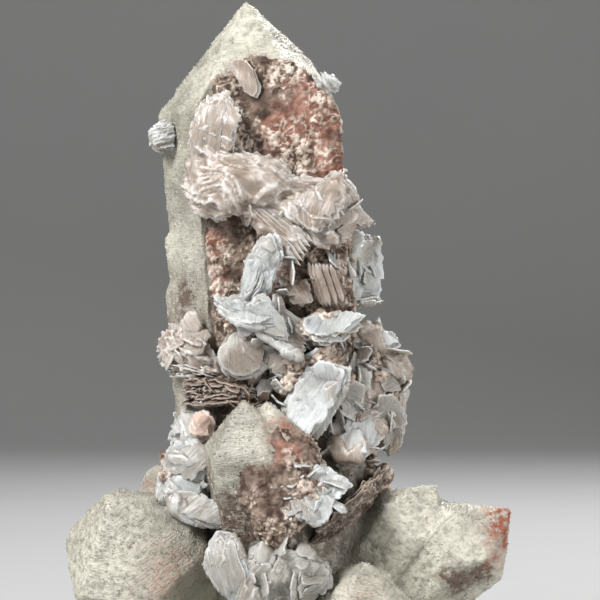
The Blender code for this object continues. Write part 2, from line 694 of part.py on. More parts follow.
# The wing on the left: bluish white blades that overlap like shingles
left_wing = [
    plate(
        [(-4.4, 32.3), (-5.6, 33.6), (-7.5, 33.7), (-8.8, 32.5), (-9.5, 30.9), (-10.1, 29.2), (-8.1, 28.0),
         (-5.6, 28.4), (-3.8, 30.2)],
        -7.4, lean=(-0.3, 0.2), thick=1.4, bow=0.3,
    ),
    plate(
        [(-3.2, 27.2), (-4.3, 29.2), (-6.9, 29.9), (-9.2, 29.3), (-10.3, 27.7), (-10.1, 25.2), (-8.8, 23.8),
         (-6.2, 23.6), (-4.5, 25.2)],
        -9.0, lean=(-0.25, 0.25), thick=1.5, bow=0.5,
    ),
    plate(
        [(-5.0, 24.2), (-6.2, 25.8), (-8.8, 26.0), (-10.2, 24.6), (-9.8, 22.8), (-7.5, 22.2), (-5.6, 22.8)],
        -9.6, lean=(-0.2, 0.3), thick=1.1, bow=0.2,
    ),
    plate(
        [(0.0, 18.9), (-1.9, 20.6), (-4.4, 22.2), (-6.9, 23.4), (-9.4, 23.6), (-10.7, 22.4), (-10.0, 20.8),
         (-7.5, 19.7), (-4.4, 18.7), (-1.9, 18.2)],
        -10.6, lean=(-0.2, 0.35), thick=1.7, bow=0.3,
    ),
    plate(
        [(-9.4, 24.2), (-10.6, 25.3), (-11.4, 24.0), (-11.6, 21.7), (-10.8, 20.2), (-9.2, 21.4)],
        -7.4, lean=(0.2, 0.1), thick=1.6,
    ),
    boulder((-7.8, -6.4, 24.4), (2.8, 2.8, 5.4), 18, rough=0.4),
    disc((-8.2, -3.6, 28.6), (-0.95, -0.2, 0.1), (4.4, 4.4), thick=1.6, seed=8),
]
grow_piece("left_wing_blades", left_wing, blade_finish)
grow_piece(
    "pink_lobe",
    [
        plate(
            [(-3.8, 31.2), (-4.4, 32.8), (-5.9, 33.2), (-7.2, 32.2),
             (-7.5, 30.6), (-6.3, 29.5), (-4.7, 29.4)],
            -10.3, lean=(-0.1, 0.2), thick=2.6, bow=0.3, rough=0.4,
        )
    ],
    pink_finish,
)

# The white blades in front of the small point
front_blades = [
    plate(
        [(12.8, 24.8), (10.6, 25.9), (8.5, 27.2), (6.9, 26.6),
         (6.9, 24.2), (8.0, 22.6), (11.0, 22.6), (12.1, 23.8)],
        -16.4, lean=(0.1, 0.4), thick=0.9, bow=0.1,
    ),
    plate(
        [(10.6, 22.7), (9.4, 24.2), (6.9, 24.3), (4.4, 23.6), (2.5, 22.8), (2.7, 21.4), (4.8, 20.5),
         (6.6, 20.4), (8.5, 19.4), (9.8, 20.2)],
        -17.6, lean=(0.05, 0.45), thick=0.9, bow=0.3,
    ),
    plate(
        [(8.0, 24.0), (6.3, 25.1), (3.8, 25.4), (1.6, 25.1), (2.2, 23.8), (4.4, 22.8), (6.6, 22.9)],
        -17.2, lean=(0.0, 0.7), thick=0.8,
    ),
    boulder((7.2, -16.6, 23.8), (2.6, 1.3, 1.7), 19, rough=0.4),
]
grow_piece("front_blades", front_blades, blade_finish)

# Brown leaves on the right of the small point, fanned like the pages of a book
LEAF_COUNT = 5
grow_piece(
    "right_brown_leaves",
    [
        disc(
            (11.4 + 0.62 * k, -12.0 + 1.3 * k, 20.2 + 0.35 * k),
            (0.62 + 0.03 * k, -0.28, -0.75 + 0.06 * k),
            (4.6, 5.2 - 0.15 * k),
            turn=10 * k, thick=1.0, bow=0.5, seed=20 + k,
        )
        for k in range(LEAF_COUNT)
    ],
    brown_finish,
)
grow_piece(
    "right_pebbles",
    [
        boulder((16.6, -5.6, 24.9), (1.35, 1.5, 1.35), 4),
        boulder((16.2, -5.2, 22.9), (1.5, 1.8, 1.5), 5),
        boulder((15.6, -5.6, 21.6), (1.7, 2.2, 1.5), 6),
        boulder((15.0, -4.8, 24.2), (1.9, 2.0, 1.9), 7),
    ],
    pink_finish,
)

# The rosette at the foot: one broad curved blade, and petals round a small core
ROSETTE_CORE = (4.1, -15.8, 13.4)
foot_rosette = [
    plate(
        [(1.3, 10.8), (0.4, 14.0), (-0.6, 16.6), (-1.5, 18.3), (-3.5, 18.8), (-5.0, 16.9), (-5.3, 14.6),
         (-3.8, 12.0), (-1.9, 9.9), (0.1, 9.0)],
        -15.6, lean=(-0.5, 0.1), thick=1.6, bow=0.6,
    ),
    plate(
        [(6.3, 15.8), (5.3, 17.4), (3.5, 17.9), (1.5, 17.2), (0.6, 15.4), (2.0, 13.6), (5.2, 13.6)],
        -16.0, lean=(0.1, 0.45), thick=1.2, bow=0.2,
    ),
    plate(
        [(10.3, 12.2), (9.8, 14.6), (8.1, 16.1), (6.0, 15.8),
         (4.4, 14.2), (5.2, 12.0), (7.6, 10.8), (9.6, 10.9)],
        -16.4, lean=(0.35, 0.1), thick=1.3, bow=0.3,
    ),
    plate(
        [(6.6, 11.0), (5.4, 13.0), (2.6, 13.2), (0.6, 11.8), (0.6, 10.2), (2.2, 9.1), (4.8, 9.0)],
        -16.6, lean=(0.0, -0.35), thick=1.2, bow=0.3,
    ),
    plate(
        [(2.6, 12.0), (2.4, 14.8), (0.6, 15.8), (-1.0, 15.4), (-1.3, 13.6), (0.0, 11.2)],
        -16.2, lean=(-0.5, 0.0), thick=1.1,
    ),
    *[
        disc(
            (ROSETTE_CORE[0] + 0.9 * math.cos(angle), -17.4, ROSETTE_CORE[2] + 0.9 * math.sin(angle)),
            (math.cos(angle), -0.9, math.sin(angle)),
            (1.9, 1.7), turn=40 * angle, thick=0.8, bow=0.3, corners=6, seed=30 + angle,
        )
        for angle in (0.5, 2.6, 4.7)
    ],
]
grow_piece("foot_rosette", foot_rosette, blade_finish)


def rosette(middle, outward, count, size, spread, seed):
    """Blades that stand round a middle, each tilted away from the way out."""
    out = Vector(outward).normalized()
    side = out.cross(Vector((0, 0, 1))).normalized()
    top = side.cross(out)
    blades = []
    for k in range(count):
        angle = 2 * math.pi * (k + 0.37 * math.sin(seed + 3 * k)) / count
        away = side * math.cos(angle) + top * math.sin(angle)
        lean_out = 0.55 + 0.35 * math.sin(seed * 2 + 5 * k)
        blades.append(
            disc(
                Vector(middle) + away * spread,
                away + out * lean_out,
                (size * (0.85 + 0.2 * math.sin(seed + k)), size * 0.8),
                turn=60 * k, thick=1.0, bow=0.35, corners=6, seed=seed + k,
            )
        )
    return blades


# The back and the sides that the photograph doesn't show carry fewer blades of the same kinds
grow_piece("back_upper_rosette", rosette((1.0, 8.2, 56.0), (0.1, 1, 0.15), 4, 4.2, 1.5, 1), blade_finish)
grow_piece("back_lower_rosette", rosette((7.0, 9.6, 38.0), (0.2, 1, 0.2), 5, 4.8, 1.8, 2), blade_finish)
grow_piece("back_left_rosette", rosette((-6.4, 6.6, 31.0), (-0.8, 0.7, 0.2), 4, 4.4, 1.6, 3), blade_finish)
grow_piece("right_side_rosette", rosette((12.6, 4.0, 24.6), (0.9, 0.5, 0.3), 4, 4.2, 1.4, 4), blade_finish)
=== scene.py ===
import math

import bmesh
import bpy
from mathutils import Matrix, Vector, noise


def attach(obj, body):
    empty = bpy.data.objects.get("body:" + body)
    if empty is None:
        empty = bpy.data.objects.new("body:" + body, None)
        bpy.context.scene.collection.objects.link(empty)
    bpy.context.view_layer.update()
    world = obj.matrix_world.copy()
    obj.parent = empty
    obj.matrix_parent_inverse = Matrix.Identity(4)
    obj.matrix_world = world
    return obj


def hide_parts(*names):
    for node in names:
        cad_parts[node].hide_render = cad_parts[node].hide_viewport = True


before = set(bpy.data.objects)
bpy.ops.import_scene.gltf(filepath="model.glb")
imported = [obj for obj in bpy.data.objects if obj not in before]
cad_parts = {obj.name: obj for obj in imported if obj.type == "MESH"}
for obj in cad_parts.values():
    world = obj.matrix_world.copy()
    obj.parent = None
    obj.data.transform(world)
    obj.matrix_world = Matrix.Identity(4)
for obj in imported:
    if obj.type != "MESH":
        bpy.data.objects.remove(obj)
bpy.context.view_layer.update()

# The quartz: one intergrown cluster, a tall point that leans to the left and shorter ones round its foot.
# A later growth coated every face with a velvet of tiny points, so its edges are rounded, its faces are
# matt and sparkle, and iron has stained it in places. Its colour also holds painted light: bright specks
# are painted glints, brown patches under the calcite, in a groove and on lower faces are painted shade, and
# the cream on its feet is painted light. Lengths here and below are in millimetres.
MM = 0.001
JOINED_WITHIN = 0.02
QUARTZ_VOXEL = 0.39
QUARTZ_AXES = [  # foot, tip and reach of each point
    ((6.4, 0, -1), (-1.5, 0, 83.8), 9.5),
    ((-9.0, 8.0, 4.0), (-16.9, -14.0, 22.6), 8.4),
    ((-7.0, -2, 8), (-9.6, -9.4, 22.2), 2.6),
    ((6.5, 1, 0), (23.0, -9.0, 24.0), 4.6),
    ((10, 3, 1), (31.8, -11.0, 21.0), 5.4),
    ((13, -2, -4), (14.1, -17.5, 15.0), 5.3),
    ((18, -1, -4), (24.8, -13.0, 8.6), 5.4),
    ((3.0, -5, 8), (-0.6, -14.6, 34.6), 5.0),
    ((6.2, -4, 8), (2.1, -13.8, 34.4), 4.6),
    ((-10, -1, -4), (-17.5, -13.0, 7.4), 5.8),
    ((3, -2, -6), (3.0, -15.5, 8.4), 5.2),
    ((0, 2, 0), (-13.0, 15.5, 25.0), 5.4),
    ((8, 2, 0), (21.0, 14.5, 19.0), 5.4),
    ((5, 3, 0), (6.0, 15.5, 31.0), 4.2),
]
RUST_SPOTS = [  # middle, radius and strength of each stain
    ((31.4, -11, 18.8), 3.0, 1.6),
    ((29.6, -11, 15.4), 1.9, 0.9),
    ((-9.0, -14, 13.0), 5.0, 0.55),
    ((3.4, -8, 75.4), 2.6, 0.8),
    ((10.6, -8, 66.0), 4.2, 0.9),
    ((11.4, -7.6, 58.0), 3.6, 0.7),
    ((-6.6, -13, 15.0), 3.0, 0.4),
    ((14.0, -16, 11.0), 2.6, 0.35),
    ((4.2, -15, 30.4), 2.4, 0.9),
    ((4.0, 10.0, 50.0), 4.6, 0.6),
    ((20.0, 13.0, 12.0), 4.4, 0.8),
    ((-12.0, 12.0, 20.0), 4.0, 0.6),
    ((-18.0, 0.0, 8.0), 4.0, 0.5),
]
# Brown patches, partly brown stain and partly painted shade, which darkens the quartz under the calcite, in
# a groove on the left face and on the lower faces of the small points.
BROWN_STAIN_AND_SHADE_SPOTS = [
    ((25.4, -11.0, 12.6), 2.4, 1.6),
    ((27.8, -11.0, 13.8), 2.2, 1.6),
    ((3.5, -16.0, 24.0), 4.6, 0.8),
    ((-1.0, -9.0, 36.5), 6.0, 0.9),
    ((9.0, -9.0, 36.0), 6.5, 0.9),
    ((9.0, -9.0, 26.0), 6.5, 0.9),
    ((-6.0, -7.0, 30.0), 5.0, 0.7),
    ((8.0, -9.0, 18.0), 6.0, 0.8),
    ((13.0, -5.0, 36.0), 6.0, 0.8),
    ((-4.0, -9.0, 22.0), 4.5, 0.6),
    ((6.0, -10.0, 14.0), 6.0, 0.8),
    ((-1.0, -12.0, 20.0), 4.6, 2.0),
    ((-3.4, -11.0, 25.0), 3.0, 1.0),
    ((-9.6, -4.0, 42.0), 8.0, 0.8),
    ((-8.1, -4.4, 47.2), 1.7, 1.8),
    ((-8.3, -4.4, 44.6), 1.3, 1.5),
    ((6.0, 10.0, 24.0), 6.0, 0.7),
    ((-6.0, 6.0, 24.0), 5.0, 0.6),
    ((10.0, 8.0, 62.0), 4.0, 0.4),
]
# Cream patches: cream stain on the tip and faces, and on the feet painted light that makes them lighter.
CREAM_AND_PAINTED_LIGHT_SPOTS = [
    ((-3.6, -6.5, 74.0), 4.4, 0.7),
    ((-0.6, -3.0, 80.5), 4.6, 0.8),
    ((4.5, -6.0, 77.5), 3.6, 0.6),
    ((-9.4, -2.0, 53.0), 3.2, 0.6),
    ((-10.6, -1.0, 46.5), 3.0, 0.6),
    ((-17.0, -11.0, 14.0), 9.0, 0.9),
    ((-10.0, -14.0, 12.0), 6.0, 0.5),
    ((20.0, -11.0, 15.0), 8.0, 0.9),
    ((28.0, -11.0, 14.0), 6.0, 0.8),
    ((14.0, -16.0, 9.0), 6.0, 0.7),
    ((2.6, -14.0, 32.6), 2.4, 0.6),
    ((0.0, 6.0, 72.0), 7.0, 0.6),
    ((14.0, 12.0, 16.0), 6.0, 0.7),
    ((-8.0, 12.0, 14.0), 6.0, 0.6),
]


def linear(code):
    """The linear colour of an sRGB hex value."""
    parts = [int(code[start : start + 2], 16) / 255 for start in (1, 3, 5)]
    return [part / 12.92 if part <= 0.04045 else ((part + 0.055) / 1.055) ** 2.4 for part in parts] + [1.0]


def add(tree, kind, settings=None, links=None):
    """Adds a node with its settings, which are inputs or properties, and links its inputs to outputs."""
    made = tree.nodes.new(kind)
    for name, value in (settings or {}).items():
        if isinstance(name, int) or name in made.inputs:
            made.inputs[name].default_value = value
        else:
            setattr(made, name, value)
    for name, output in (links or {}).items():
        tree.links.new(output, made.inputs[name])
    return made


def finish(name, constants, base, rough, bump):
    """A Principled material. Three functions add the nodes for its colour, roughness and normal."""
    made = bpy.data.materials.new(name)
    made.use_nodes = True
    tree = made.node_tree
    shader = tree.nodes["Principled BSDF"]
    for socket, value in constants.items():
        shader.inputs[socket].default_value = value
    tree.links.new(base(tree), shader.inputs["Base Color"])
    tree.links.new(rough(tree), shader.inputs["Roughness"])
    tree.links.new(bump(tree), shader.inputs["Normal"])
    return made


def blend(tree, factor, under, over):
    """Lays one colour over another by a factor. A colour is a hex value or an output."""
    settings, links = {"blend_type": "MIX"}, {"Fac": factor}
    for socket, colour in (("Color1", under), ("Color2", over)):
        if isinstance(colour, str):
            settings[socket] = linear(colour)
        else:
            links[socket] = colour
    return add(tree, "ShaderNodeMixRGB", settings, links).outputs["Color"]


def spread(tree, value, low, high, to_low=0.0, to_high=1.0):
    """Maps a value's range to another one, smoothly."""
    settings = {
        "interpolation_type": "SMOOTHSTEP",
        "From Min": low,
        "From Max": high,
        "To Min": to_low,
        "To Max": to_high,
    }
    return add(tree, "ShaderNodeMapRange", settings, {"Value": value}).outputs["Result"]


def spot_cover(place, spots):
    """How strongly the spots cover a place, with ragged edges."""
    ragged = 1.0 + 0.5 * noise.noise(place * 0.8) + 0.25 * noise.noise(place * 2.3)
    total = 0.0
    for middle, radius, strength in spots:
        away = (place - Vector(middle)).length / (radius * ragged)
        total = max(total, strength * max(0.0, min(1.0, 1.6 - 1.3 * away)))
    return total


def remeshed(source, voxel):
    """A closed mesh with even faces, from a closed mesh. The voxel is in millimetres."""
    carrier = bpy.data.objects.new("carrier", source)
    bpy.context.scene.collection.objects.link(carrier)
    remesh = carrier.modifiers.new("remesh", "REMESH")
    remesh.mode = "VOXEL"
    remesh.voxel_size = voxel * MM
    graph = bpy.context.evaluated_depsgraph_get()
    mesh = bpy.data.meshes.new_from_object(carrier.evaluated_get(graph))
    bpy.data.objects.remove(carrier)
    return mesh


def merged(node):
    """A copy of a CAD node's mesh with its loose triangles joined."""
    bm = bmesh.new()
    bm.from_mesh(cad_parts[node].data)
    bmesh.ops.remove_doubles(bm, verts=bm.verts, dist=JOINED_WITHIN * MM)
    mesh = bpy.data.meshes.new(node + "_copy")
    bm.to_mesh(mesh)
    bm.free()
    return mesh


def shown(name, mesh, material, slot, *nodes):
    """Puts a finished mesh in the scene in place of CAD nodes."""
    for face in mesh.polygons:
        face.use_smooth = True
    mesh.materials.clear()
    mesh.materials.append(material)
    made = bpy.data.objects.new(name, mesh)
    bpy.context.scene.collection.objects.link(made)
    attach(made, "root")
    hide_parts(*nodes)


def owner(place):
    """The axis that a place on the quartz belongs to, and the place along it and beside it."""
    best = None
    for foot, tip, reach in QUARTZ_AXES:
        start = Vector(foot)
        length = (Vector(tip) - start).length
        axis = (Vector(tip) - start) / length
        along = max(0.0, min(length, (place - start).dot(axis)))
        away = (place - start - axis * along).length / reach
        if best is None or away < best[0]:
            best = (away, start, axis)
    away, start, axis = best
    side = axis.cross(Vector((0, 1, 0))).normalized()
    offset = place - start
    return axis, Vector((offset.dot(side), offset.dot(side.cross(axis)), offset.dot(axis)))


def coat(mesh):
    """Gives the quartz its uneven coat, its grain direction, its rust stains, brown patches that are partly
    painted shade, and cream patches that are partly painted light.
    """
    bm = bmesh.new()
    bm.from_mesh(mesh)
    bm.normal_update()
    grain = bm.verts.layers.float_vector.new("grain")
    growth = bm.verts.layers.float_vector.new("growth")
    layers = {
        "rust": (bm.verts.layers.float.new("rust"), RUST_SPOTS),
        "brown": (bm.verts.layers.float.new("brown"), BROWN_STAIN_AND_SHADE_SPOTS),
        "cream": (bm.verts.layers.float.new("cream"), CREAM_AND_PAINTED_LIGHT_SPOTS),
    }
    shift = {}
    for vert in bm.verts:
        place = vert.co / MM
        axis, own = owner(place)
        vert[grain] = own
        vert[growth] = vert.normal * 0.7 + axis * 0.9
        # Rust stain, brown patches that are partly painted shade, and cream patches that are partly painted
        # light.
        for layer, spots in layers.values():
            vert[layer] = spot_cover(place, spots)
        # Broad swells, fine lumps, and the ridges that run across a crystal.
        ridges = Vector((own.x * 0.35, own.y * 0.35, own.z * 1.5))
        swell = (
            0.12 * noise.noise(place * 0.30)
            + 0.10 * noise.noise(place * 0.9)
            + 0.09 * noise.noise(ridges)
            + 0.07 * noise.noise(place * 2.4)
        )
        # The foot was cut flat, so the coat thins out to nothing there.
        above_cut = max(0.0, min(1.0, place.z / 1.5))
        shift[vert] = vert.normal * (swell * above_cut * MM)
    for vert, move in shift.items():
        vert.co += move
    bm.to_mesh(mesh)
    bm.free()


# Quartz, grown as a velvet of points 0.15 to 0.5 mm wide, which lie across each crystal's length: matt from
# afar, milky where light gets under it, and with bright specks where a point's face turns to the light,
# which are painted glints in its colour.
GRAIN_WIDTH = 0.45
FINE_GRAIN_WIDTH = 0.15
GRAINS_PER_WIDTH = (0.55, 0.55, 2.4)  # across the crystal both ways, and along it
TONES_PER_MM = 0.28
PATCH_EDGES_PER_MM = 1.3


def quartz_grain(tree, width):
    """Cells of druse grain, which are wider across the crystal than along it."""
    own = add(tree, "ShaderNodeAttribute", {"attribute_name": "grain"}).outputs["Vector"]
    drawn = add(tree, "ShaderNodeMapping", {"Scale": GRAINS_PER_WIDTH}, {"Vector": own})
    return add(tree, "ShaderNodeTexVoronoi", {"Scale": 1 / width}, {"Vector": drawn.outputs["Vector"]})


def quartz_colour(tree):
    """Grey in two tones with darker grain and painted glints as bright specks, under rust stain, brown
    patches that are partly painted shade, and cream patches that are partly painted light.
    """
    own = add(tree, "ShaderNodeAttribute", {"attribute_name": "grain"}).outputs["Vector"]
    tone = add(tree, "ShaderNodeTexNoise", {"Scale": TONES_PER_MM, "Detail": 6.0}, {"Vector": own})
    pale = blend(tree, spread(tree, tone.outputs["Fac"], 0.35, 0.66), "#908c80", "#b8b4a6")
    strokes = quartz_grain(tree, GRAIN_WIDTH)
    grained = blend(tree, spread(tree, strokes.outputs["Distance"], 0.1, 0.9, 0.0, 0.42), pale, "#6f6b60")
    fine = quartz_grain(tree, FINE_GRAIN_WIDTH)
    # Painted glints: random fine grains are lightened to a bright speck colour.
    colour = blend(tree, spread(tree, fine.outputs["Color"], 0.7, 0.98, 0.0, 0.6), grained, "#dedbcf")
    # Rust is stain; the brown layer is partly painted shade, and the cream layer is partly painted light.
    for name, code in (("cream", "#d3cfc0"), ("brown", "#67564a"), ("rust", "#8f5038")):
        layer = add(tree, "ShaderNodeAttribute", {"attribute_name": name})
        cut = add(tree, "ShaderNodeTexNoise", {"Scale": PATCH_EDGES_PER_MM, "Detail": 6.0}, {"Vector": own})
        share = add(
            tree, "ShaderNodeMath", {"operation": "MULTIPLY"},
            {0: layer.outputs["Fac"], 1: spread(tree, cut.outputs["Fac"], 0.3, 0.62)},
        )
        colour = blend(tree, share.outputs[0], colour, code)
    return colour


def quartz_roughness(tree):
    """Each fine grain has a gloss of its own."""
    cells = quartz_grain(tree, FINE_GRAIN_WIDTH)
    return spread(tree, cells.outputs["Color"], 0.1, 0.9, 0.32, 0.68)


def quartz_bump(tree):
    """The two sizes of grain, each raised from its cells' edges."""
    coarse = quartz_grain(tree, GRAIN_WIDTH)
    fine = quartz_grain(tree, FINE_GRAIN_WIDTH)
    lower = add(
        tree, "ShaderNodeBump", {"Strength": 0.6, "Distance": 0.00012, "invert": True},
        {"Height": coarse.outputs["Distance"]},
    )
    upper = add(
        tree, "ShaderNodeBump", {"Strength": 0.55, "Distance": 0.00005, "invert": True},
        {"Height": fine.outputs["Distance"], "Normal": lower.outputs["Normal"]},
    )
    return upper.outputs["Normal"]


velvet_quartz = finish(
    "velvet_quartz",
    {
        "IOR": 1.54,
        "Subsurface Weight": 0.2,
        "Subsurface Radius": (1.0, 0.85, 0.7),
        "Subsurface Scale": 0.0006,
        "Specular IOR Level": 0.6,
    },
    quartz_colour,
    quartz_roughness,
    quartz_bump,
)

quartz_mesh = remeshed(merged("quartz_cluster"), QUARTZ_VOXEL)
coat(quartz_mesh)
shown("quartz", quartz_mesh, velvet_quartz, "velvet_quartz", "quartz_cluster")

# The largest points of the druse: six-sided tips under half a millimetre wide that stand out of the velvet
# along each crystal's growth. They catch the light and break up the outline.
DRUSE_PER_SQUARE_METRE = 3.4e6
DRUSE_WIDTH = 0.26
DRUSE_LENGTH = 0.34
DRUSE_SUNK = 0.35  # the share of a tip that is under the skin


def druse(name, low, high, seed):
    """Grows druse tips on the quartz between two heights."""
    tree = bpy.data.node_groups.new(name, "GeometryNodeTree")
    tree.interface.new_socket("Geometry", in_out="INPUT", socket_type="NodeSocketGeometry")
    tree.interface.new_socket("Geometry", in_out="OUTPUT", socket_type="NodeSocketGeometry")
    source = add(tree, "NodeGroupInput")
    height = add(tree, "GeometryNodeInputPosition")
    z = add(tree, "ShaderNodeSeparateXYZ", links={0: height.outputs[0]}).outputs["Z"]
    above = add(tree, "FunctionNodeCompare", {"operation": "GREATER_THAN", "B": low * MM}, {"A": z})
    below = add(tree, "FunctionNodeCompare", {"operation": "LESS_THAN", "B": high * MM}, {"A": z})
    both = add(tree, "FunctionNodeBooleanMath", links={0: above.outputs[0], 1: below.outputs[0]})
    points = add(
        tree, "GeometryNodeDistributePointsOnFaces", {"Density": DRUSE_PER_SQUARE_METRE, "Seed": seed},
        {"Mesh": source.outputs[0], "Selection": both.outputs[0]},
    )
    tip = add(
        tree, "GeometryNodeMeshCone",
        {
            "Vertices": 6,
            "Radius Top": 0.0,
            "Radius Bottom": DRUSE_WIDTH / 2 * MM,
            "Depth": DRUSE_LENGTH * MM,
            "fill_type": "NGON",
        },
    )
    sunk = add(
        tree, "GeometryNodeTransform", {"Translation": (0, 0, -DRUSE_SUNK * DRUSE_LENGTH * MM)},
        {"Geometry": tip.outputs["Mesh"]},
    )
    growth = add(tree, "GeometryNodeInputNamedAttribute", {"data_type": "FLOAT_VECTOR", "Name": "growth"})
    jitter = add(
        tree, "FunctionNodeRandomValue",
        {"data_type": "FLOAT_VECTOR", 0: (-0.45, -0.45, -0.45), 1: (0.45, 0.45, 0.45), "Seed": seed + 1},
    )
    both_ways = {0: growth.outputs[0], 1: jitter.outputs[0]}
    lean = add(tree, "ShaderNodeVectorMath", {"operation": "ADD"}, both_ways)
    turned = add(tree, "FunctionNodeAlignRotationToVector", {"axis": "Z"}, {"Vector": lean.outputs[0]})
    size = add(tree, "FunctionNodeRandomValue", {"data_type": "FLOAT", 2: 0.45, 3: 1.35, "Seed": seed + 2})
    tips = add(
        tree, "GeometryNodeInstanceOnPoints", {},
        {
            "Points": points.outputs["Points"],
            "Instance": sunk.outputs["Geometry"],
            "Rotation": turned.outputs[0],
            "Scale": size.outputs[1],
        },
    )
    real = add(tree, "GeometryNodeRealizeInstances", links={0: tips.outputs[0]})
    add(tree, "NodeGroupOutput", links={0: real.outputs[0]})
    carrier = bpy.data.objects.new("carrier", quartz_mesh.copy())
    bpy.context.scene.collection.objects.link(carrier)
    carrier.modifiers.new("druse", "NODES").node_group = tree
    graph = bpy.context.evaluated_depsgraph_get()
    mesh = bpy.data.meshes.new_from_object(carrier.evaluated_get(graph))
    bpy.data.objects.remove(carrier)
    shown(name, mesh, velvet_quartz, "velvet_quartz", "quartz_cluster")
    for face in mesh.polygons:
        face.use_smooth = False


druse("druse_foot", low=0.6, high=24, seed=11)
druse("druse_tall_point", low=24, high=90, seed=12)

# The hematite crust: earthy iron oxide and clay on the etched front, red in its hollows, under a lace of
# cream calcite that has grown on its ridges. It sits on the quartz, so its edge runs into it.
CRUST_VOXEL = 0.16
CRUST_GRAIN = 0.62
CRUST_RIM = [
    (11.3, 62), (10.6, 69.5), (8.6, 72.4), (6.4, 74.6), (3.6, 75.8), (0.6, 76.2),
    (-2.6, 74.6), (-4.6, 72.8), (-5.5, 68), (-5.6, 60), (-5.3, 52), (-4.6, 44), (-3.2, 38),
    (2.0, 36.6), (8.0, 37.2), (12.4, 40), (12.8, 48), (12.0, 56),
]
SMALL_CRUST_RIM = [
    (8.6, 27.0), (7.6, 29.6), (5.6, 31.2), (3.0, 31.4), (0.9, 29.6), (-0.6, 26.8),
    (-1.0, 23.6), (0.4, 19.8), (2.4, 17.0), (4.6, 17.6), (7.4, 19.6), (9.6, 22.0), (9.8, 25.0),
]
BARE_ZONES = [  # where the crust has no lace
    ((1.6, -8.2, 70.9), 2.6, 1.0),
    ((10.8, -8.2, 66.5), 2.0, 0.9),
    ((2.8, -17.0, 24.6), 3.6, 0.5),
]
RED_ZONES = [
    ((8.6, -8.2, 70.0), 5.4, 1.2),
    ((4.0, -8.2, 67.5), 3.6, 1.0),
    ((10.4, -8.2, 62.5), 3.4, 1.1),
    ((-4.6, -8.2, 53.2), 2.2, 1.1),
    ((-4.0, -8.2, 48.6), 2.0, 1.1),
    ((0.6, -8.2, 70.6), 3.0, 0.35),
    ((4.6, -17.0, 28.4), 2.6, 0.9),
    ((6.8, -17.0, 24.0), 2.0, 0.7),
]


def smooth_rim(rim, between, sharp=0.0):
    """The closed outline on a curve, with points added and its corners kept as sharp as asked."""
    points = [Vector(point) for point in rim]
    count = len(points)
    curve = []
    for k in range(count):
        before, start, end, after = (points[(k + step) % count] for step in (-1, 0, 1, 2))
        for j in range(between):
            t = j / between
            curved = 0.5 * (
                2 * start
                + (end - before) * t
                + (2 * before - 5 * start + 4 * end - after) * t**2
                + (3 * start - before - 3 * end + after) * t**3
            )
            curve.append(curved * (1 - sharp) + (start + (end - start) * t) * sharp)
    return curve


def bed(rim, depth, lean, thick, grow):
    """A closed lens between an outline's points, which the crust's lumps are raised on."""
    outline = smooth_rim(rim, 4)
    middle = sum(outline, Vector((0, 0))) / len(outline)
    bm = bmesh.new()
    bmesh.ops.create_uvsphere(bm, u_segments=len(outline), v_segments=24, radius=1.0)
    for vert in bm.verts:
        reach = math.hypot(vert.co.x, vert.co.y)
        angle = math.atan2(vert.co.y, vert.co.x) - math.pi / 2
        # The sphere's meridians go to the outline's points, and its poles to the lens's two faces.
        arm = outline[round(angle / (2 * math.pi) * len(outline)) % len(outline)] - middle
        arm = arm * reach * (arm.length + grow) / arm.length
        side = math.copysign(abs(vert.co.z) ** 0.7, vert.co.z)
        y = depth + lean[0] * arm.x + lean[1] * arm.y - side * thick / 2
        vert.co = Vector((middle.x + arm.x, y, middle.y + arm.y)) * MM
    if bm.calc_volume(signed=True) < 0:
        bmesh.ops.reverse_faces(bm, faces=bm.faces)
    mesh = bpy.data.meshes.new("bed")
    bm.to_mesh(mesh)
    bm.free()
    return mesh


def crusted(mesh, depth, pitch, pale=0.0):
    """Raises lumps, grains and a lace of ridges on a mesh, and keeps where they are for the colours."""
    bm = bmesh.new()
    bm.from_mesh(mesh)
    bm.normal_update()
    lace = bm.verts.layers.float.new("lace")
    red = bm.verts.layers.float.new("red")
    noise.seed_set(5)
    shift = {}
    for vert in bm.verts:
        place = vert.co / MM
        warp = noise.noise_vector(place * 0.8)
        drawn = (place + warp * 0.7) / pitch
        # Threads where the noise crosses zero, and grains in cells, of which only the chosen are pale.
        thread = max(0.0, 1.0 - 6.0 * abs(noise.noise(drawn)))
        near, cells = noise.voronoi((place + warp * 0.2) / CRUST_GRAIN)
        grain = max(0.0, 1.0 - 1.2 * near[0])
        chosen = 0.5 + noise.noise(cells[0] * 5.3)
        where = 0.5 + 1.1 * noise.noise(place * 0.28 + Vector((4, 4, 4)))
        where = max(0.0, min(1.0, where + 0.3 + pale)) * (1 - min(1.0, spot_cover(place, BARE_ZONES)))
        lump = noise.noise(place * 0.4) + 0.5 * noise.noise(place * 1.1)
        threads = max(thread, 1.1 * grain * (chosen > 0.56 - 0.2 * where)) * where
        vert[lace] = max(0.0, min(1.0, threads + 0.2 * lump))
        vert[red] = spot_cover(place, RED_ZONES)
        rise = 0.6 * threads + 0.7 * grain + 0.9 * lump - 0.6
        shift[vert] = vert.normal * (depth * rise * MM)
    for vert, move in shift.items():
        vert.co += move
    bm.to_mesh(mesh)
    bm.free()
    return mesh


# Hematite and clay under calcite, deposited from water: chalky and quite matt, red and brown in its
# hollows and cream on its ridges, with pits and grit of about 0.2 mm.
CRUST_PATCH = 1 / 0.6
CRUST_PIT = 0.2
CRUST_GRIT = 0.25


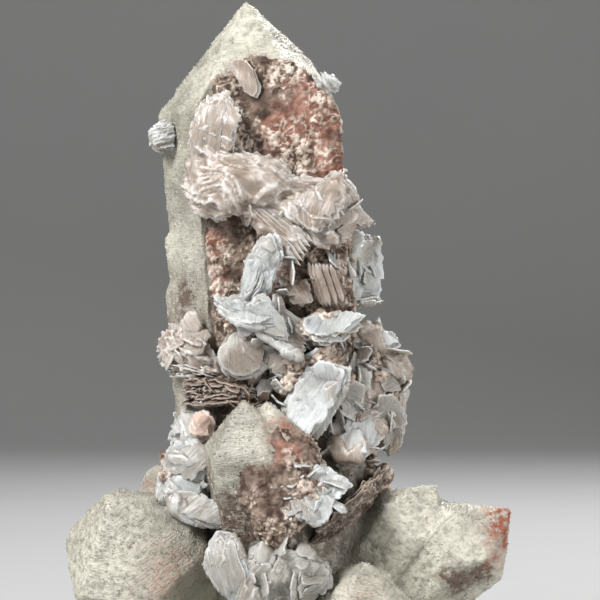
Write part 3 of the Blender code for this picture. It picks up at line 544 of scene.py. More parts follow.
def crust_colour(tree):
    """Brown and rust in the hollows, and cream where the lace is."""
    here = add(tree, "ShaderNodeTexCoord").outputs["Object"]
    lace = add(tree, "ShaderNodeAttribute", {"attribute_name": "lace"}).outputs["Fac"]
    red = add(tree, "ShaderNodeAttribute", {"attribute_name": "red"}).outputs["Fac"]
    settings = {"Scale": 1 / (CRUST_PATCH * MM), "Detail": 8.0}
    patch = add(tree, "ShaderNodeTexNoise", settings, {"Vector": here}).outputs["Fac"]
    brown = blend(tree, spread(tree, patch, 0.35, 0.68), "#46372f", "#8b786b")
    rust = blend(tree, spread(tree, patch, 0.35, 0.68), "#6c473b", "#a27c6d")
    mixed = add(tree, "ShaderNodeMath", {"operation": "MULTIPLY_ADD", 1: 0.8}, {0: patch, 2: red})
    under = blend(tree, spread(tree, mixed.outputs[0], 0.75, 1.35), brown, rust)
    cream = blend(tree, spread(tree, patch, 0.4, 0.65), "#9d8c7d", "#d9cdc0")
    return blend(tree, spread(tree, lace, 0.12, 0.6), under, cream)


def crust_roughness(tree):
    """The lace has a little gloss, and the earth under it none."""
    lace = add(tree, "ShaderNodeAttribute", {"attribute_name": "lace"}).outputs["Fac"]
    return spread(tree, lace, 0.0, 1.0, 0.95, 0.62)


def crust_bump(tree):
    """Pits, and grit in them."""
    here = add(tree, "ShaderNodeTexCoord").outputs["Object"]
    pits = add(tree, "ShaderNodeTexVoronoi", {"Scale": 1 / (CRUST_PIT * MM)}, {"Vector": here})
    settings = {"Scale": 1 / (CRUST_GRIT * MM), "Detail": 6.0}
    grit = add(tree, "ShaderNodeTexNoise", settings, {"Vector": here})
    lower = add(
        tree, "ShaderNodeBump", {"Strength": 0.8, "Distance": 0.0001}, {"Height": pits.outputs["Distance"]}
    )
    upper = add(
        tree, "ShaderNodeBump", {"Strength": 0.7, "Distance": 0.0001},
        {"Height": grit.outputs["Fac"], "Normal": lower.outputs["Normal"]},
    )
    return upper.outputs["Normal"]


hematite_crust = finish(
    "hematite_crust", {"IOR": 1.55, "Specular IOR Level": 0.3}, crust_colour, crust_roughness, crust_bump
)
tall_bed = bed(CRUST_RIM, depth=-6.3, lean=(0, 0), thick=4.4, grow=0.5)
tall_skin = crusted(remeshed(tall_bed, CRUST_VOXEL), depth=0.42, pitch=0.9)
shown("tall_point_crust", tall_skin, hematite_crust, "hematite_crust", "front_crust")
small_bed = bed(SMALL_CRUST_RIM, depth=-14.6, lean=(0.1, 0.22), thick=7.2, grow=0.3)
small_skin = crusted(remeshed(small_bed, CRUST_VOXEL), depth=0.6, pitch=0.8, pale=-0.4)
shown("small_point_crust_skin", small_skin, hematite_crust, "hematite_crust", "small_point_crust")

# The calcite blades: thin crystals of calcite in overlapping leaves, each with a broken, toothed rim. Most
# of the broad ones are books of two to four leaves, a little apart in size and turn. Under most groups lies
# a mass of the same calcite, whose skin runs in ripples or in the steps of leaves.
RIM_STEP = 0.36
LEAF_THICKNESS = 0.26
LEAF_TILT = 0.3
EDGE_ROUND = 0.08  # the share of a leaf's reach that its rim is rounded over
one_leaf = bpy.data.meshes.new("one_leaf")
CLAY_AND_SHADE_SPOTS = [  # middle, radius and strength of each brown patch: clay in the calcite, partly painted shade between the blades
    ((-0.4, -11.0, 39.4), 4.2, 0.75),
    ((4.6, -11.0, 39.2), 2.4, 0.6),
    ((3.2, -11.0, 45.0), 2.2, 0.5),
    ((5.2, -11.0, 48.6), 2.6, 0.8),
    ((9.4, -12.0, 45.8), 2.6, 0.6),
    ((6.4, -12.0, 41.6), 1.6, 0.7),
    ((14.4, -6.0, 40.6), 3.0, 0.5),
    ((16.6, -4.0, 36.0), 2.4, 0.7),
    ((10.6, -9.0, 33.6), 2.0, 0.5),
    ((17.8, -4.0, 31.0), 2.2, 0.6),
    ((-7.6, -9.0, 21.6), 2.4, 0.6),
    ((-4.6, -9.0, 27.0), 1.8, 0.6),
    ((6.0, -16.0, 24.6), 2.2, 0.6),
    ((0.4, -10.0, 55.6), 4.0, 0.6),
    ((8.4, -11.0, 51.6), 3.0, 0.5),
    ((-3.0, -9.0, 64.0), 2.6, 0.4),
    ((4.0, -15.0, 16.0), 3.0, 0.6),
    ((9.6, -10.0, 48.6), 3.4, 0.7),
    ((3.4, -12.0, 51.0), 1.6, 0.5),
    ((10.2, -12.0, 36.0), 1.6, 0.4),
    ((-4.4, -9.0, 58.0), 2.6, 0.5),
    ((13.4, -8.0, 27.0), 2.4, 0.6),
]


def new_group():
    """An empty mesh for blades, with the layers that their finish reads."""
    group = bmesh.new()
    for layer in ("rim", "tint", "crest", "shade"):
        group.verts.layers.float.new(layer)
    group.verts.layers.float_vector.new("lie")
    return group


def leaf(group, middle, across, up, outline, thick, bow, seed, tooth, tint, ripple, rings, tilt):
    """One thin crystal. Its outline's points are offsets from its middle along the two directions."""
    single = new_group()
    rim_layer, tint_layer = single.verts.layers.float["rim"], single.verts.layers.float["tint"]
    lie_layer = single.verts.layers.float_vector["lie"]
    crest_layer, shade_layer = single.verts.layers.float["crest"], single.verts.layers.float["shade"]
    size = sum(arm.length for arm in outline) / len(outline)
    count = len(outline)
    normal = across.cross(up).normalized()
    bmesh.ops.create_uvsphere(single, u_segments=count, v_segments=rings, radius=1.0)
    far = Vector((seed * 3.7, seed * 1.9, seed * 0.7))
    grain = Matrix.Rotation(2.2 * noise.noise(far), 2)
    # The rim has chips broken out of it, and teeth of two sizes.
    ragged = []
    for arm in outline:
        walk = Vector((arm.x, arm.y, 0))
        chip = max(0.0, noise.noise(walk * 0.6 + far) - 0.1)
        fine = noise.noise(walk * 1.5 + far)
        saw = noise.noise(walk * 4.3 + far)
        grow = tooth * (1.1 * fine + 0.8 * saw - 5.5 * chip)
        ragged.append(arm * max(0.5, 1 + grow / arm.length))
    for vert in single.verts:
        reach = math.hypot(vert.co.x, vert.co.y)
        angle = math.atan2(vert.co.y, vert.co.x) - math.pi / 2
        k = round(angle / (2 * math.pi) * count) % count
        arm = outline[k] * reach + (ragged[k] - outline[k]) * reach**3
        body = math.copysign(min(1.0, max(0.0, 1 - reach) / EDGE_ROUND) ** 0.5, vert.co.z)
        # Creases, folds and fine lines run with the crystal's grain.
        own = grain @ arm
        sway = 0.6 * noise.noise(Vector((own.x * 0.25, own.y * 0.25, seed)))
        crease = 0.5 - 2 * abs(noise.noise(Vector((own.x * 0.36 + sway, own.y * 0.14, seed))))
        fold = 0.5 - 2 * abs(noise.noise(Vector((own.x * 0.5, own.y * 0.5 + sway, seed + 7))))
        line = noise.noise(Vector((own.x * 2.2 + sway, own.y * 0.5, seed)))
        dome = bow * (1 - min(1.6, (arm.length / size) ** 2))
        height = body * thick / 2 + dome + tilt.dot(arm)
        height += ripple * (crease + 0.4 * fold + 0.22 * line)
        vert.co = (middle + across * arm.x + up * arm.y + normal * height) * MM
        vert[rim_layer] = reach
        vert[tint_layer] = tint
        vert[lie_layer] = Vector((own.x, own.y, 10 * seed))
        vert[crest_layer] = 0.5
        # Brown clay patches, partly painted shade between the blades.
        vert[shade_layer] = spot_cover(vert.co / MM, CLAY_AND_SHADE_SPOTS)
    if single.calc_volume(signed=True) < 0:
        bmesh.ops.reverse_faces(single, faces=single.faces)
    single.to_mesh(one_leaf)
    single.free()
    group.from_mesh(one_leaf)


def book(group, middle, across, up, outline, thick, bow, seed, leaves, tooth=0.36, ripple=0.3, rings=16):
    """A blade as a book of leaves, of which the largest lies a little behind the middle."""
    normal = across.cross(up).normalized()
    size = sum(arm.length for arm in outline) / len(outline)
    noise.seed_set(int(abs(seed) * 977) + 1)
    loose = leaves > 1
    for n in range(leaves):
        part = n / max(1, leaves - 1) - 0.5
        turn = Matrix.Rotation(0.22 * (noise.random() - 0.5) * loose, 2)
        scale = 1.0 - (0.2 * abs(part + 0.15) + 0.1 * noise.random()) * loose
        slide = Vector((noise.random() - 0.5, noise.random() - 0.5)) * size * 0.14 * loose
        rim = [turn @ arm * scale + slide for arm in outline]
        thin = min(LEAF_THICKNESS, 0.8 * thick / leaves) if loose else thick
        thin *= 0.8 + 0.4 * noise.random()
        place = middle + normal * part * (thick - thin)
        tint = noise.random()
        tilt = Vector((noise.random() - 0.5, noise.random() - 0.5)) * LEAF_TILT * loose
        leaf(group, place, across, up, rim, thin, bow, seed + 0.4 * n, tooth, tint, ripple, rings, tilt)


def rim_points(rim, sharp=0.55):
    """The outline at steps of about the teeth's size."""
    around = sum((Vector(rim[k]) - Vector(rim[k - 1])).length for k in range(len(rim)))
    return smooth_rim(rim, max(2, min(14, round(around / len(rim) / RIM_STEP))), sharp)


def plate(group, rim, depth, lean=(0.0, 0.0), thick=0.9, bow=0.0, view="front", leaves=3, **more):
    """A blade from its outline as the front or the top view sees it, as in the solids."""
    outline = rim_points(rim)
    middle = sum(outline, Vector((0, 0))) / len(outline)
    if view == "front":
        centre = Vector((middle.x, depth, middle.y))
        across, up = Vector((1, lean[0], 0)), Vector((0, lean[1], 1))
    else:
        centre = Vector((middle.x, middle.y, depth))
        across, up = Vector((1, 0, lean[0])), Vector((0, 1, lean[1]))
    seed = rim[0][0] * 1.3 + rim[2][1] * 0.7
    book(group, centre, across, up, [point - middle for point in outline], thick, bow, seed, leaves, **more)


def disc(group, middle, facing, size, turn=0.0, thick=0.9, bow=0.3, seed=0, leaves=3, uneven=0.3, **more):
    """A blade with an uneven, many-cornered outline, whose middle and facing are given in space."""
    normal = Vector(facing).normalized()
    across = Vector((0, 0, 1)).cross(normal)
    across = across.normalized() if across.length > 0.1 else Vector((1, 0, 0))
    across = Matrix.Rotation(math.radians(turn), 3, normal) @ across
    up = normal.cross(across)
    noise.seed_set(int(seed * 131) + 7)
    corners = 6 + int(2.5 * noise.random())
    rim = []
    for k in range(corners):
        angle = 2 * math.pi * (k + 0.6 * (noise.random() - 0.5)) / corners
        arm = 1.05 + uneven * (noise.random() - 0.5)
        rim.append((math.cos(angle) * size[0] * arm, math.sin(angle) * size[1] * arm))
    book(group, Vector(middle), across, up, rim_points(rim, 0.7), thick, bow, seed + 0.5, leaves, **more)


def lath(group, start, end, width, thick, facing=(0.0, -1.0, 0.0), leaves=1):
    """A narrow blade from start to end, pointed at both."""
    along = Vector(end) - Vector(start)
    half = along.length / 2
    along.normalize()
    normal = Vector(facing)
    normal = (normal - along * normal.dot(along)).normalized()
    side = normal.cross(along)
    wide = width / 2
    rim = [
        (0, half), (-wide, half * 0.6), (-wide, -half * 0.7),
        (0, -half), (wide, -half * 0.6), (wide, half * 0.7),
    ]
    middle = (Vector(start) + Vector(end)) / 2
    book(
        group, middle, -side, along, rim_points(rim, 0.8), thick, 0.0, half * 3 + start[0], leaves,
        tooth=0.1, ripple=0.08, rings=8,
    )


def ruffle(group, middle, facing, reach, size, count, seed, wild=0.8):
    """A tuft of small blades that stand at all angles round a place, as calcite grows in a corner."""
    out = Vector(facing).normalized()
    side = out.cross(Vector((0.1, 0.2, 1))).normalized()
    top = side.cross(out)
    for k in range(count):
        noise.seed_set(seed * 1000 + k + 1)
        angle = 2.4 * k + seed
        away = math.sqrt((k + 0.5) / count)
        direction = side * math.cos(angle) + top * math.sin(angle)
        centre = Vector(middle) + direction * away * reach + out * (noise.random() - 0.5) * reach * 0.5
        tilt = out * 0.7 + direction * 0.5 + noise.random_unit_vector() * wild
        wide = size * (0.55 + 0.8 * noise.random())
        disc(
            group, centre, tilt, (wide, wide * (0.55 + 0.45 * noise.random())),
            turn=360 * noise.random(), thick=0.24, bow=0.12, seed=seed * 31 + k, leaves=1,
            uneven=0.6, tooth=0.2, ripple=0.12, rings=8,
        )


def grown(name, group, material, slot, *nodes):
    """Finishes a group of blades and shows it in place of CAD nodes."""
    mesh = bpy.data.meshes.new(name)
    group.to_mesh(mesh)
    group.free()
    shown(name, mesh, material, slot, *nodes)


def folded(node, voxel, along, fold, pitch, seed, leaves=0):
    """A CAD node's solid with a skin in ripples along a direction, or in the steps of leaves, and a crest
    value for painted highlights on its crests and painted shade in its hollows.
    """
    bm = bmesh.new()
    bm.from_mesh(remeshed(merged(node), voxel))
    bm.normal_update()
    crest = bm.verts.layers.float.new("crest")
    shade = bm.verts.layers.float.new("shade")
    tint = bm.verts.layers.float.new("tint")
    lie = bm.verts.layers.float_vector.new("lie")
    run = Vector(along).normalized()
    far = Vector((seed * 3.7, seed * 1.9, seed * 0.7))
    noise.seed_set(seed + 30)
    shift = {}
    for vert in bm.verts:
        place = vert.co / MM
        drawn = place + noise.noise_vector(place * 0.22 + far) * 2.2
        drawn = (drawn - run * drawn.dot(run) * 0.8) / pitch
        first = 1 - min(1.0, 2.4 * abs(noise.noise(drawn + far)))
        second = 1 - min(1.0, 2.4 * abs(noise.noise(drawn * 2.4 + far)))
        rise = 0.75 * first**2 + 0.4 * second**2
        # Crests get a high crest value for a painted highlight, and troughs a low one for painted shade.
        lip = 0.1 + 0.9 * rise
        if leaves:
            # The skin steps up by a leaf at each whole level, with painted shade before the step and a
            # painted highlight on its lip.
            broad = 0.6 * noise.noise(drawn * 0.55 + far)
            level = leaves * (0.5 + broad + 0.07 * noise.noise(drawn * 2.6 + far))
            part = level % 1.0
            riser = max(0.0, part - 0.8)
            lip = max(0.5, 1.0 - part / 0.2) - 2.5 * riser
            rise = (level - part + riser / 0.2) / leaves * 1.7 + 0.12 * first
        vert[crest] = min(1.0, lip)
        vert[tint] = 0.5 + 0.5 * noise.noise(place * 0.4 + far)
        # Brown clay patches, partly painted shade between the blades.
        vert[shade] = spot_cover(place, CLAY_AND_SHADE_SPOTS)
        vert[lie] = drawn * 1.5
        shift[vert] = vert.normal * (fold * (rise - (0.85 if leaves else 0.4)) * MM)
    for vert, move in shift.items():
        vert.co += move
    mesh = bpy.data.meshes.new(node + "_skin")
    bm.to_mesh(mesh)
    bm.free()
    return mesh


def mass(name, node, material, slot, **skin):
    """Shows a CAD node's solid with a folded skin, in place of the node."""
    shown(name, folded(node, **skin), material, slot, node)


# Calcite, grown from water: see-through and waxy in its thickness, milky where leaves lie over one another,
# and white at the toothed rims, which is partly a painted highlight. Iron has tinted some of it brown or
# pink.
# Its hollows, troughs and the spaces between blades are darkened to a clay brown, partly real clay and
# partly painted shade, and the crests and lips of its skins have a painted highlight.
# A clay brown, for the clay in the calcite and for painted shade in its hollows.
CLAY_AND_SHADE_BROWN = "#8a7667"
LINES_PER_MM = (2.6, 0.28, 1)  # across and along the growth lines, and from leaf to leaf
CLOUD_SIZE = 1 / 0.42
WEAR_SIZE = 1 / 0.26
CALCITE_GRIT = 1 / 2.6


def calcite(name, deep, body, rim, clear):
    """A calcite finish from the colours of its thickness, its leaves and its rims."""

    def streaks(tree):
        """Growth lines along each leaf."""
        lie = add(tree, "ShaderNodeAttribute", {"attribute_name": "lie"}).outputs["Vector"]
        drawn = add(tree, "ShaderNodeMapping", {"Scale": LINES_PER_MM}, {"Vector": lie}).outputs["Vector"]
        settings = {"Scale": 1.0, "Detail": 6.0, "Roughness": 0.62, "Distortion": 0.6}
        return add(tree, "ShaderNodeTexNoise", settings, {"Vector": drawn}).outputs["Fac"]

    def colour(tree):
        """Lines, painted highlights on crests, painted shade in hollows, clay that is partly painted shade,
        and rims that are partly painted highlight, over two tones of the thickness.
        """
        here = add(tree, "ShaderNodeTexCoord").outputs["Object"]
        edge = add(tree, "ShaderNodeAttribute", {"attribute_name": "rim"}).outputs["Fac"]
        tint = add(tree, "ShaderNodeAttribute", {"attribute_name": "tint"}).outputs["Fac"]
        settings = {"Scale": 1 / (CLOUD_SIZE * MM), "Detail": 5.0}
        cloud = add(tree, "ShaderNodeTexNoise", settings, {"Vector": here}).outputs["Fac"]
        mixed = add(tree, "ShaderNodeMath", {"operation": "MULTIPLY_ADD", 1: 0.5}, {0: tint, 2: cloud})
        inner = blend(tree, spread(tree, mixed.outputs[0], 0.45, 1.0), deep, body)
        sunk = blend(tree, spread(tree, streaks(tree), 0.3, 0.46, 0.5, 0.0), inner, deep)
        lines = blend(tree, spread(tree, streaks(tree), 0.52, 0.7, 0.0, 0.6), sunk, rim)
        crest = add(tree, "ShaderNodeAttribute", {"attribute_name": "crest"}).outputs["Fac"]
        # Painted highlight: the crests and lips of the folded skins are lightened to the rim colour.
        lips_lit = blend(tree, spread(tree, crest, 0.5, 1.0, 0.0, 0.9), lines, rim)
        settings = {"Scale": 1 / (WEAR_SIZE * MM), "Detail": 7.0}
        worn = add(tree, "ShaderNodeTexNoise", settings, {"Vector": here}).outputs["Fac"]
        stained = blend(tree, spread(tree, worn, 0.55, 0.7, 0.0, 0.5), lips_lit, deep)
        # Painted shade: the troughs and the foot of each step are darkened to the clay brown.
        hollow_shaded = blend(tree, spread(tree, crest, 0.0, 0.42, 0.75, 0.0), stained, CLAY_AND_SHADE_BROWN)
        # Brown clay patches, partly painted shade between the blades.
        shade = add(tree, "ShaderNodeAttribute", {"attribute_name": "shade"}).outputs["Fac"]
        ragged = add(tree, "ShaderNodeMath", {"operation": "MULTIPLY_ADD", 1: 0.7}, {0: worn, 2: shade})
        clayed_and_shaded = blend(tree, spread(tree, ragged.outputs[0], 0.5, 1.15, 0.0, 0.8), hollow_shaded, CLAY_AND_SHADE_BROWN)
        # White rims, partly a painted highlight along each leaf's toothed edge.
        return blend(tree, spread(tree, edge, 0.88, 1.0, 0.0, 0.75), clayed_and_shaded, rim)

    def roughness(tree):
        """Waxy, and duller on the pale lines."""
        return spread(tree, streaks(tree), 0.3, 0.7, 0.2, 0.5)

    def bump(tree):
        """The growth lines, and grit on them."""
        here = add(tree, "ShaderNodeTexCoord").outputs["Object"]
        settings = {"Scale": 1 / (CALCITE_GRIT * MM), "Detail": 4.0}
        grit = add(tree, "ShaderNodeTexNoise", settings, {"Vector": here})
        lower = add(
            tree, "ShaderNodeBump", {"Strength": 0.7, "Distance": 0.00022}, {"Height": streaks(tree)}
        )
        upper = add(
            tree, "ShaderNodeBump", {"Strength": 0.35, "Distance": 0.0001},
            {"Height": grit.outputs["Fac"], "Normal": lower.outputs["Normal"]},
        )
        return upper.outputs["Normal"]

    constants = {
        "IOR": 1.6,
        "Transmission Weight": clear,
        "Subsurface Weight": 0.5,
        "Subsurface Radius": (1.0, 0.9, 0.8),
        "Subsurface Scale": 0.001,
    }
    return finish(name, constants, colour, roughness, bump)


white_calcite = calcite("white_calcite", deep="#afa9a0", body="#dee1df", rim="#fbfcfb", clear=0.32)
veil_calcite = calcite("veil_calcite", deep="#aa998b", body="#d5c9be", rim="#f8f4ef", clear=0.3)
tinted_calcite = calcite("tinted_calcite", deep="#a29b91", body="#cfccc4", rim="#f1efea", clear=0.35)
brown_calcite = calcite("brown_calcite", deep="#3a2e27", body="#66564c", rim="#a89a8e", clear=0.05)
pink_calcite = calcite("pink_calcite", deep="#ab8f80", body="#d2b8ab", rim="#eadfd6", clear=0.12)

# The veil: broad soft blades of calcite, tinted cream and pink, which grew over the crust's upper half and
# hang over one another. A comb of narrow laths hangs from its lower edge, and one blade stands alone above.
mass(
    "veil_mass", "veil_blades", veil_calcite, "calcite_blade",
    voxel=0.22, along=(0.85, 0, -0.5), fold=0.6, pitch=1.5, seed=1,
)
veil = new_group()
plate(
    veil,
    [(-2.7, 69.2), (-2.2, 72.2), (-4.4, 71.6), (-5.9, 71.0), (-6.8, 68.4), (-7.5, 65.4),
     (-6.6, 62.6), (-4.4, 62.2), (-3.0, 65.2)],
    depth=-9.4, lean=(-0.3, 0.04), thick=1.6, bow=0.6, leaves=4,
)
plate(
    veil,
    [(-0.5, 69.2), (-1.5, 70.6), (-2.1, 71.6), (-3.0, 70.2), (-3.5, 67.1), (-3.8, 63.4),
     (-2.6, 63.2), (-1.7, 65.6), (-1.2, 67.8)],
    depth=-10.6, lean=(-0.55, 0.1), thick=0.9, bow=0.3, leaves=2,
)
plate(
    veil,
    [(11.9, 62.4), (10.0, 61.6), (8.0, 60.2), (6.0, 59.0), (3.6, 58.6), (4.4, 56.6), (7.8, 54.2),
     (9.5, 55.4), (11.0, 56.4), (11.8, 59.2)],
    depth=-10.8, lean=(-0.1, 0.32), thick=1.5, bow=0.8, leaves=4,
)
plate(
    veil,
    [(15.6, 55.8), (14.2, 56.8), (13.5, 58.6), (12.8, 60.4), (11.8, 61.9), (10.2, 62.2), (9.6, 59.6),
     (10.4, 56.8), (12.4, 55.4), (14.0, 54.9)],
    depth=-7.0, lean=(0.45, 0.1), thick=1.1, bow=0.3, leaves=3, tooth=0.4,
)
plate(
    veil,
    [(12.6, 60.0), (12.0, 61.6), (10.4, 62.6), (8.2, 61.0), (7.4, 58.4), (9.6, 56.4), (12.0, 57.2)],
    depth=-8.6, lean=(0.2, 0.3), thick=1.0, bow=0.4, leaves=3,
)
plate(
    veil,
    [(11.3, 54.2), (10.0, 55.6), (8.4, 55.9), (6.8, 54.9), (7.6, 53.4), (9.4, 52.6), (10.8, 53.2)],
    depth=-10.4, lean=(-0.2, -0.4), thick=0.9, leaves=2,
)
plate(
    veil,
    [(-2.7, 76.2), (-1.2, 76.6), (0.7, 74.8), (1.6, 72.4), (1.1, 70.8), (-0.4, 71.4),
     (-1.7, 73.3), (-2.6, 75.0)],
    depth=-8.3, lean=(-0.12, 0.32), thick=1.1, bow=0.4, leaves=2, tooth=0.12, ripple=0.12,
)
for k in range(8):
    lath(
        veil,
        (-1.6 + 0.7 * k, -10.3 + 0.06 * k, 58.4 - 0.12 * k),
        (6.4 + 0.3 * k, -11.8 + 0.18 * k, 50.6 + 0.58 * k),
        width=1.1, thick=0.3, facing=(-0.5, -1.0, -0.3),
    )
ruffle(veil, (2.4, -9.8, 58.6), (0, -1, -0.2), reach=3.4, size=1.4, count=12, seed=3, wild=0.4)
ruffle(veil, (10.0, -9.2, 57.5), (0.3, -1, 0), reach=3.4, size=1.5, count=12, seed=5)
ruffle(veil, (-4.0, -9.4, 66.5), (0, -1, 0), reach=2.6, size=1.4, count=9, seed=6, wild=0.4)
grown("veil", veil, veil_calcite, "calcite_blade", "veil_blades")

# The butterfly: two wings of white calcite that meet in a ridge, each of leaves in a fan, the comb of laths
# that runs out of it, and round clear blades below. All grew on the crust of the tall point.
mass(
    "butterfly_core", "butterfly_blades", white_calcite, "calcite_blade",
    voxel=0.17, along=(0.7, 0, -0.5), fold=1.1, pitch=1.5, seed=10, leaves=5,
)
butterfly = new_group()
plate(
    butterfly,
    [(4.3, 53.0), (3.1, 54.8), (1.5, 54.0), (-0.2, 51.8), (-1.1, 49.0), (-1.3, 46.4), (0.6, 45.8),
     (2.5, 47.0), (3.3, 49.4), (4.1, 51.2)],
    depth=-11.8, lean=(-0.32, -0.12), thick=1.4, bow=0.5, leaves=4,
)
plate(
    butterfly,
    [(3.4, 45.6), (2.4, 47.2), (0.6, 47.7), (-1.3, 46.9), (-3.1, 46.6), (-4.6, 46.6), (-3.5, 44.9),
     (-1.9, 43.7), (0.0, 43.0), (2.0, 42.9), (3.4, 43.8)],
    depth=-12.4, lean=(0.15, 0.75), thick=1.1, bow=0.2, leaves=3,
)
plate(
    butterfly,
    [(4.6, 43.6), (3.0, 46.2), (1.2, 47.0), (-0.6, 45.8), (1.2, 43.6), (3.0, 42.0), (5.0, 41.4)],
    depth=-13.0, lean=(0.3, -0.2), thick=0.8, leaves=3,
)
for k in range(9):
    lath(
        butterfly,
        (0.0 + 0.26 * k, -13.0 + 0.26 * k, 43.6 + 0.38 * k),
        (6.6 + 0.14 * k, -13.0 + 0.38 * k, 39.4 + 0.42 * k),
        width=1.0, thick=0.28, facing=(0.3, -1.0, 0.5),
    )
for k in range(6):
    lath(
        butterfly,
        (-0.9 + 0.35 * k, -12.9 + 0.1 * k, 46.0 + 0.15 * k),
        (1.2 + 0.62 * k, -12.4 + 0.1 * k, 53.6 - 0.175 * (k - 3) ** 2),
        width=1.4, thick=0.26, facing=(-0.35, -1.0, 0.15 + 0.1 * k), leaves=2,
    )
for k in range(5):
    lath(
        butterfly,
        (-4.3 + 0.5 * k, -12.8 - 0.1 * k, 46.5 - 0.3 * k),
        (2.6 + 0.6 * k, -13.3, 44.6 - 0.7 * k),
        width=1.3, thick=0.26, facing=(0.1 * k - 0.2, -1.0, 0.6), leaves=2,
    )
ruffle(butterfly, (3.0, -11.2, 49.0), (0.2, -1, 0), reach=3.2, size=1.5, count=14, seed=7)
ruffle(butterfly, (2.0, -12.0, 43.5), (0.2, -1, 0), reach=3.4, size=1.3, count=12, seed=8)
grown("butterfly", butterfly, white_calcite, "calcite_blade", "butterfly_blades")
round_blades = new_group()
plate(
    round_blades,
    [(3.1, 40.2), (2.3, 42.2), (0.0, 43.4), (-2.3, 42.8), (-3.5, 41.5), (-4.4, 39.6), (-3.5, 37.7),
     (-1.3, 36.4), (1.0, 36.8), (2.6, 38.1)],
    depth=-11.0, lean=(0.08, 0.22), thick=2.2, bow=0.4, leaves=3, tooth=0.15, ripple=0.12,
)
plate(
    round_blades,
    [(6.6, 39.4), (5.6, 41.0), (3.8, 41.6), (1.6, 41.0), (1.8, 38.4), (3.5, 37.0), (5.4, 37.4)],
    depth=-10.6, lean=(0.1, 0.15), thick=1.4, bow=0.2, leaves=3, ripple=0.12,
)
grown("round_blades", round_blades, tinted_calcite, "calcite_blade", "butterfly_blades")

# The wedge, a single bright blade of white calcite that lies nearly flat, and the fluted leaves of brown
# and cream calcite in the hollow above it, which stand like pages on the crust.
wedge = new_group()
plate(
    wedge,
    [(14.5, 44.3), (12.7, 45.1), (10.6, 45.4), (8.4, 45.2), (6.2, 44.0), (6.6, 42.6), (7.9, 41.4),
     (10.0, 41.8), (12.0, 42.7), (13.3, 43.3)],
    depth=-12.0, lean=(0.2, 0.8), thick=0.9, bow=-0.2, leaves=3,
)
plate(
    wedge,
    [(12.6, 42.4), (10.6, 44.0), (8.0, 43.6), (7.4, 41.8), (9.4, 40.9), (11.4, 41.2)],
    depth=-11.2, lean=(0.2, 0.6), thick=0.8, leaves=2,
)
grown("wedge", wedge, white_calcite, "pink_calcite", "wedge_blade")
mass(
    "fluted_mass", "fluted_stack", brown_calcite, "brown_calcite",
    voxel=0.17, along=(0.35, 0, -1), fold=0.5, pitch=0.7, seed=5,
)
fluted = new_group()
for k in range(7):
    lath(
        fluted,
        (7.2 + 0.45 * k, -9.8, 51.2 - 0.05 * k),
        (9.2 + 0.4 * k, -9.6, 45.6 + 0.05 * k),
        width=0.8, thick=2.4,
    )
plate(
    fluted,
    [(7.9, 47.6), (7.0, 49.2), (5.4, 49.4), (4.4, 48.0), (4.6, 46.2), (6.2, 45.4), (7.8, 46.0)],
    depth=-9.2, thick=2.6, bow=0.4, leaves=4,
)
grown("fluted_leaves", fluted, veil_calcite, "brown_calcite", "fluted_stack")

# The right edge: blades of clear grey calcite that stand upright, edge forwards, then a mass of broad and
# feathery blades round a pink lump. They grew on the tall point's side and on its crust.
mass(
    "right_fan_core", "right_fan_blades", tinted_calcite, "calcite_blade",
    voxel=0.18, along=(0.15, 0, 1), fold=0.9, pitch=1.2, seed=11, leaves=5,
)
right_fan = new_group()
plate(
    right_fan,
    [(16.5, 51.6), (16.0, 54.0), (14.8, 55.0), (12.5, 54.4), (10.9, 53.2), (10.2, 50.2), (11.0, 47.2),
     (13.7, 46.3), (16.0, 46.4), (16.4, 49.0)],
    depth=-3.6, lean=(0.65, 0.1), thick=1.0, bow=0.3, leaves=4,
)
plate(
    right_fan,
    [(12.7, 51.2), (12.1, 53.6), (11.0, 53.8), (9.8, 52.0), (9.6, 49.0), (10.6, 46.8),
     (12.3, 46.6), (12.9, 49)],
    depth=-5.8, lean=(0.9, 0.15), thick=0.9, leaves=3,
)
plate(
    right_fan,
    [(15.2, 51.8), (14.6, 53.8), (13.0, 54.2), (11.6, 52.6), (11.4, 49.4), (12.2, 46.8),
     (14.2, 46.8), (15.2, 49)],
    depth=-4.6, lean=(1.6, -0.1), thick=0.8, bow=0.2, leaves=3,
)
plate(
    right_fan,
    [(16.9, -2.6), (15.6, 0.4), (12.6, 1.2), (10.6, -1.4), (10.4, -5.6), (12.6, -7.6), (15.6, -6.0)],
    depth=46.4, lean=(-0.02, 0.08), thick=0.8, view="top", leaves=3,
)
disc(right_fan, (13.2, 0.8, 50.4), (0.9, 0.5, 0.1), (4.0, 3.8), thick=1.0, seed=3)
ruffle(right_fan, (13.0, -5.0, 50.4), (0.8, -0.7, 0), reach=3.6, size=1.8, count=16, seed=9)
grown("right_fan", right_fan, white_calcite, "calcite_blade", "right_fan_blades")
mass(
    "right_core", "right_stack", veil_calcite, "calcite_blade",
    voxel=0.2, along=(0.3, 0.2, -0.9), fold=1.3, pitch=1.6, seed=6, leaves=6,
)
right_mass = new_group()
plate(
    right_mass,
    [(19.0, 40.8), (18.2, 41.9), (16.8, 42.5), (15.9, 44.0), (15.2, 43.1), (13.1, 43.3), (11.2, 42.2),
     (12.2, 40.4), (14.4, 40.1), (16.9, 40.0)],
    depth=-4.0, lean=(0.25, 0.7), thick=1.6, leaves=4,
)
plate(
    right_mass,
    [(19.5, 32.6), (19.4, 35.0), (18.1, 36.1), (16.2, 35.6), (15.2, 33.4), (15.6, 30.9), (16.2, 28.6),
     (17.3, 27.0), (18.8, 27.4), (19.3, 29.6)],
    depth=-2.0, lean=(0.2, -0.15), thick=1.8, bow=0.5, leaves=4,
)
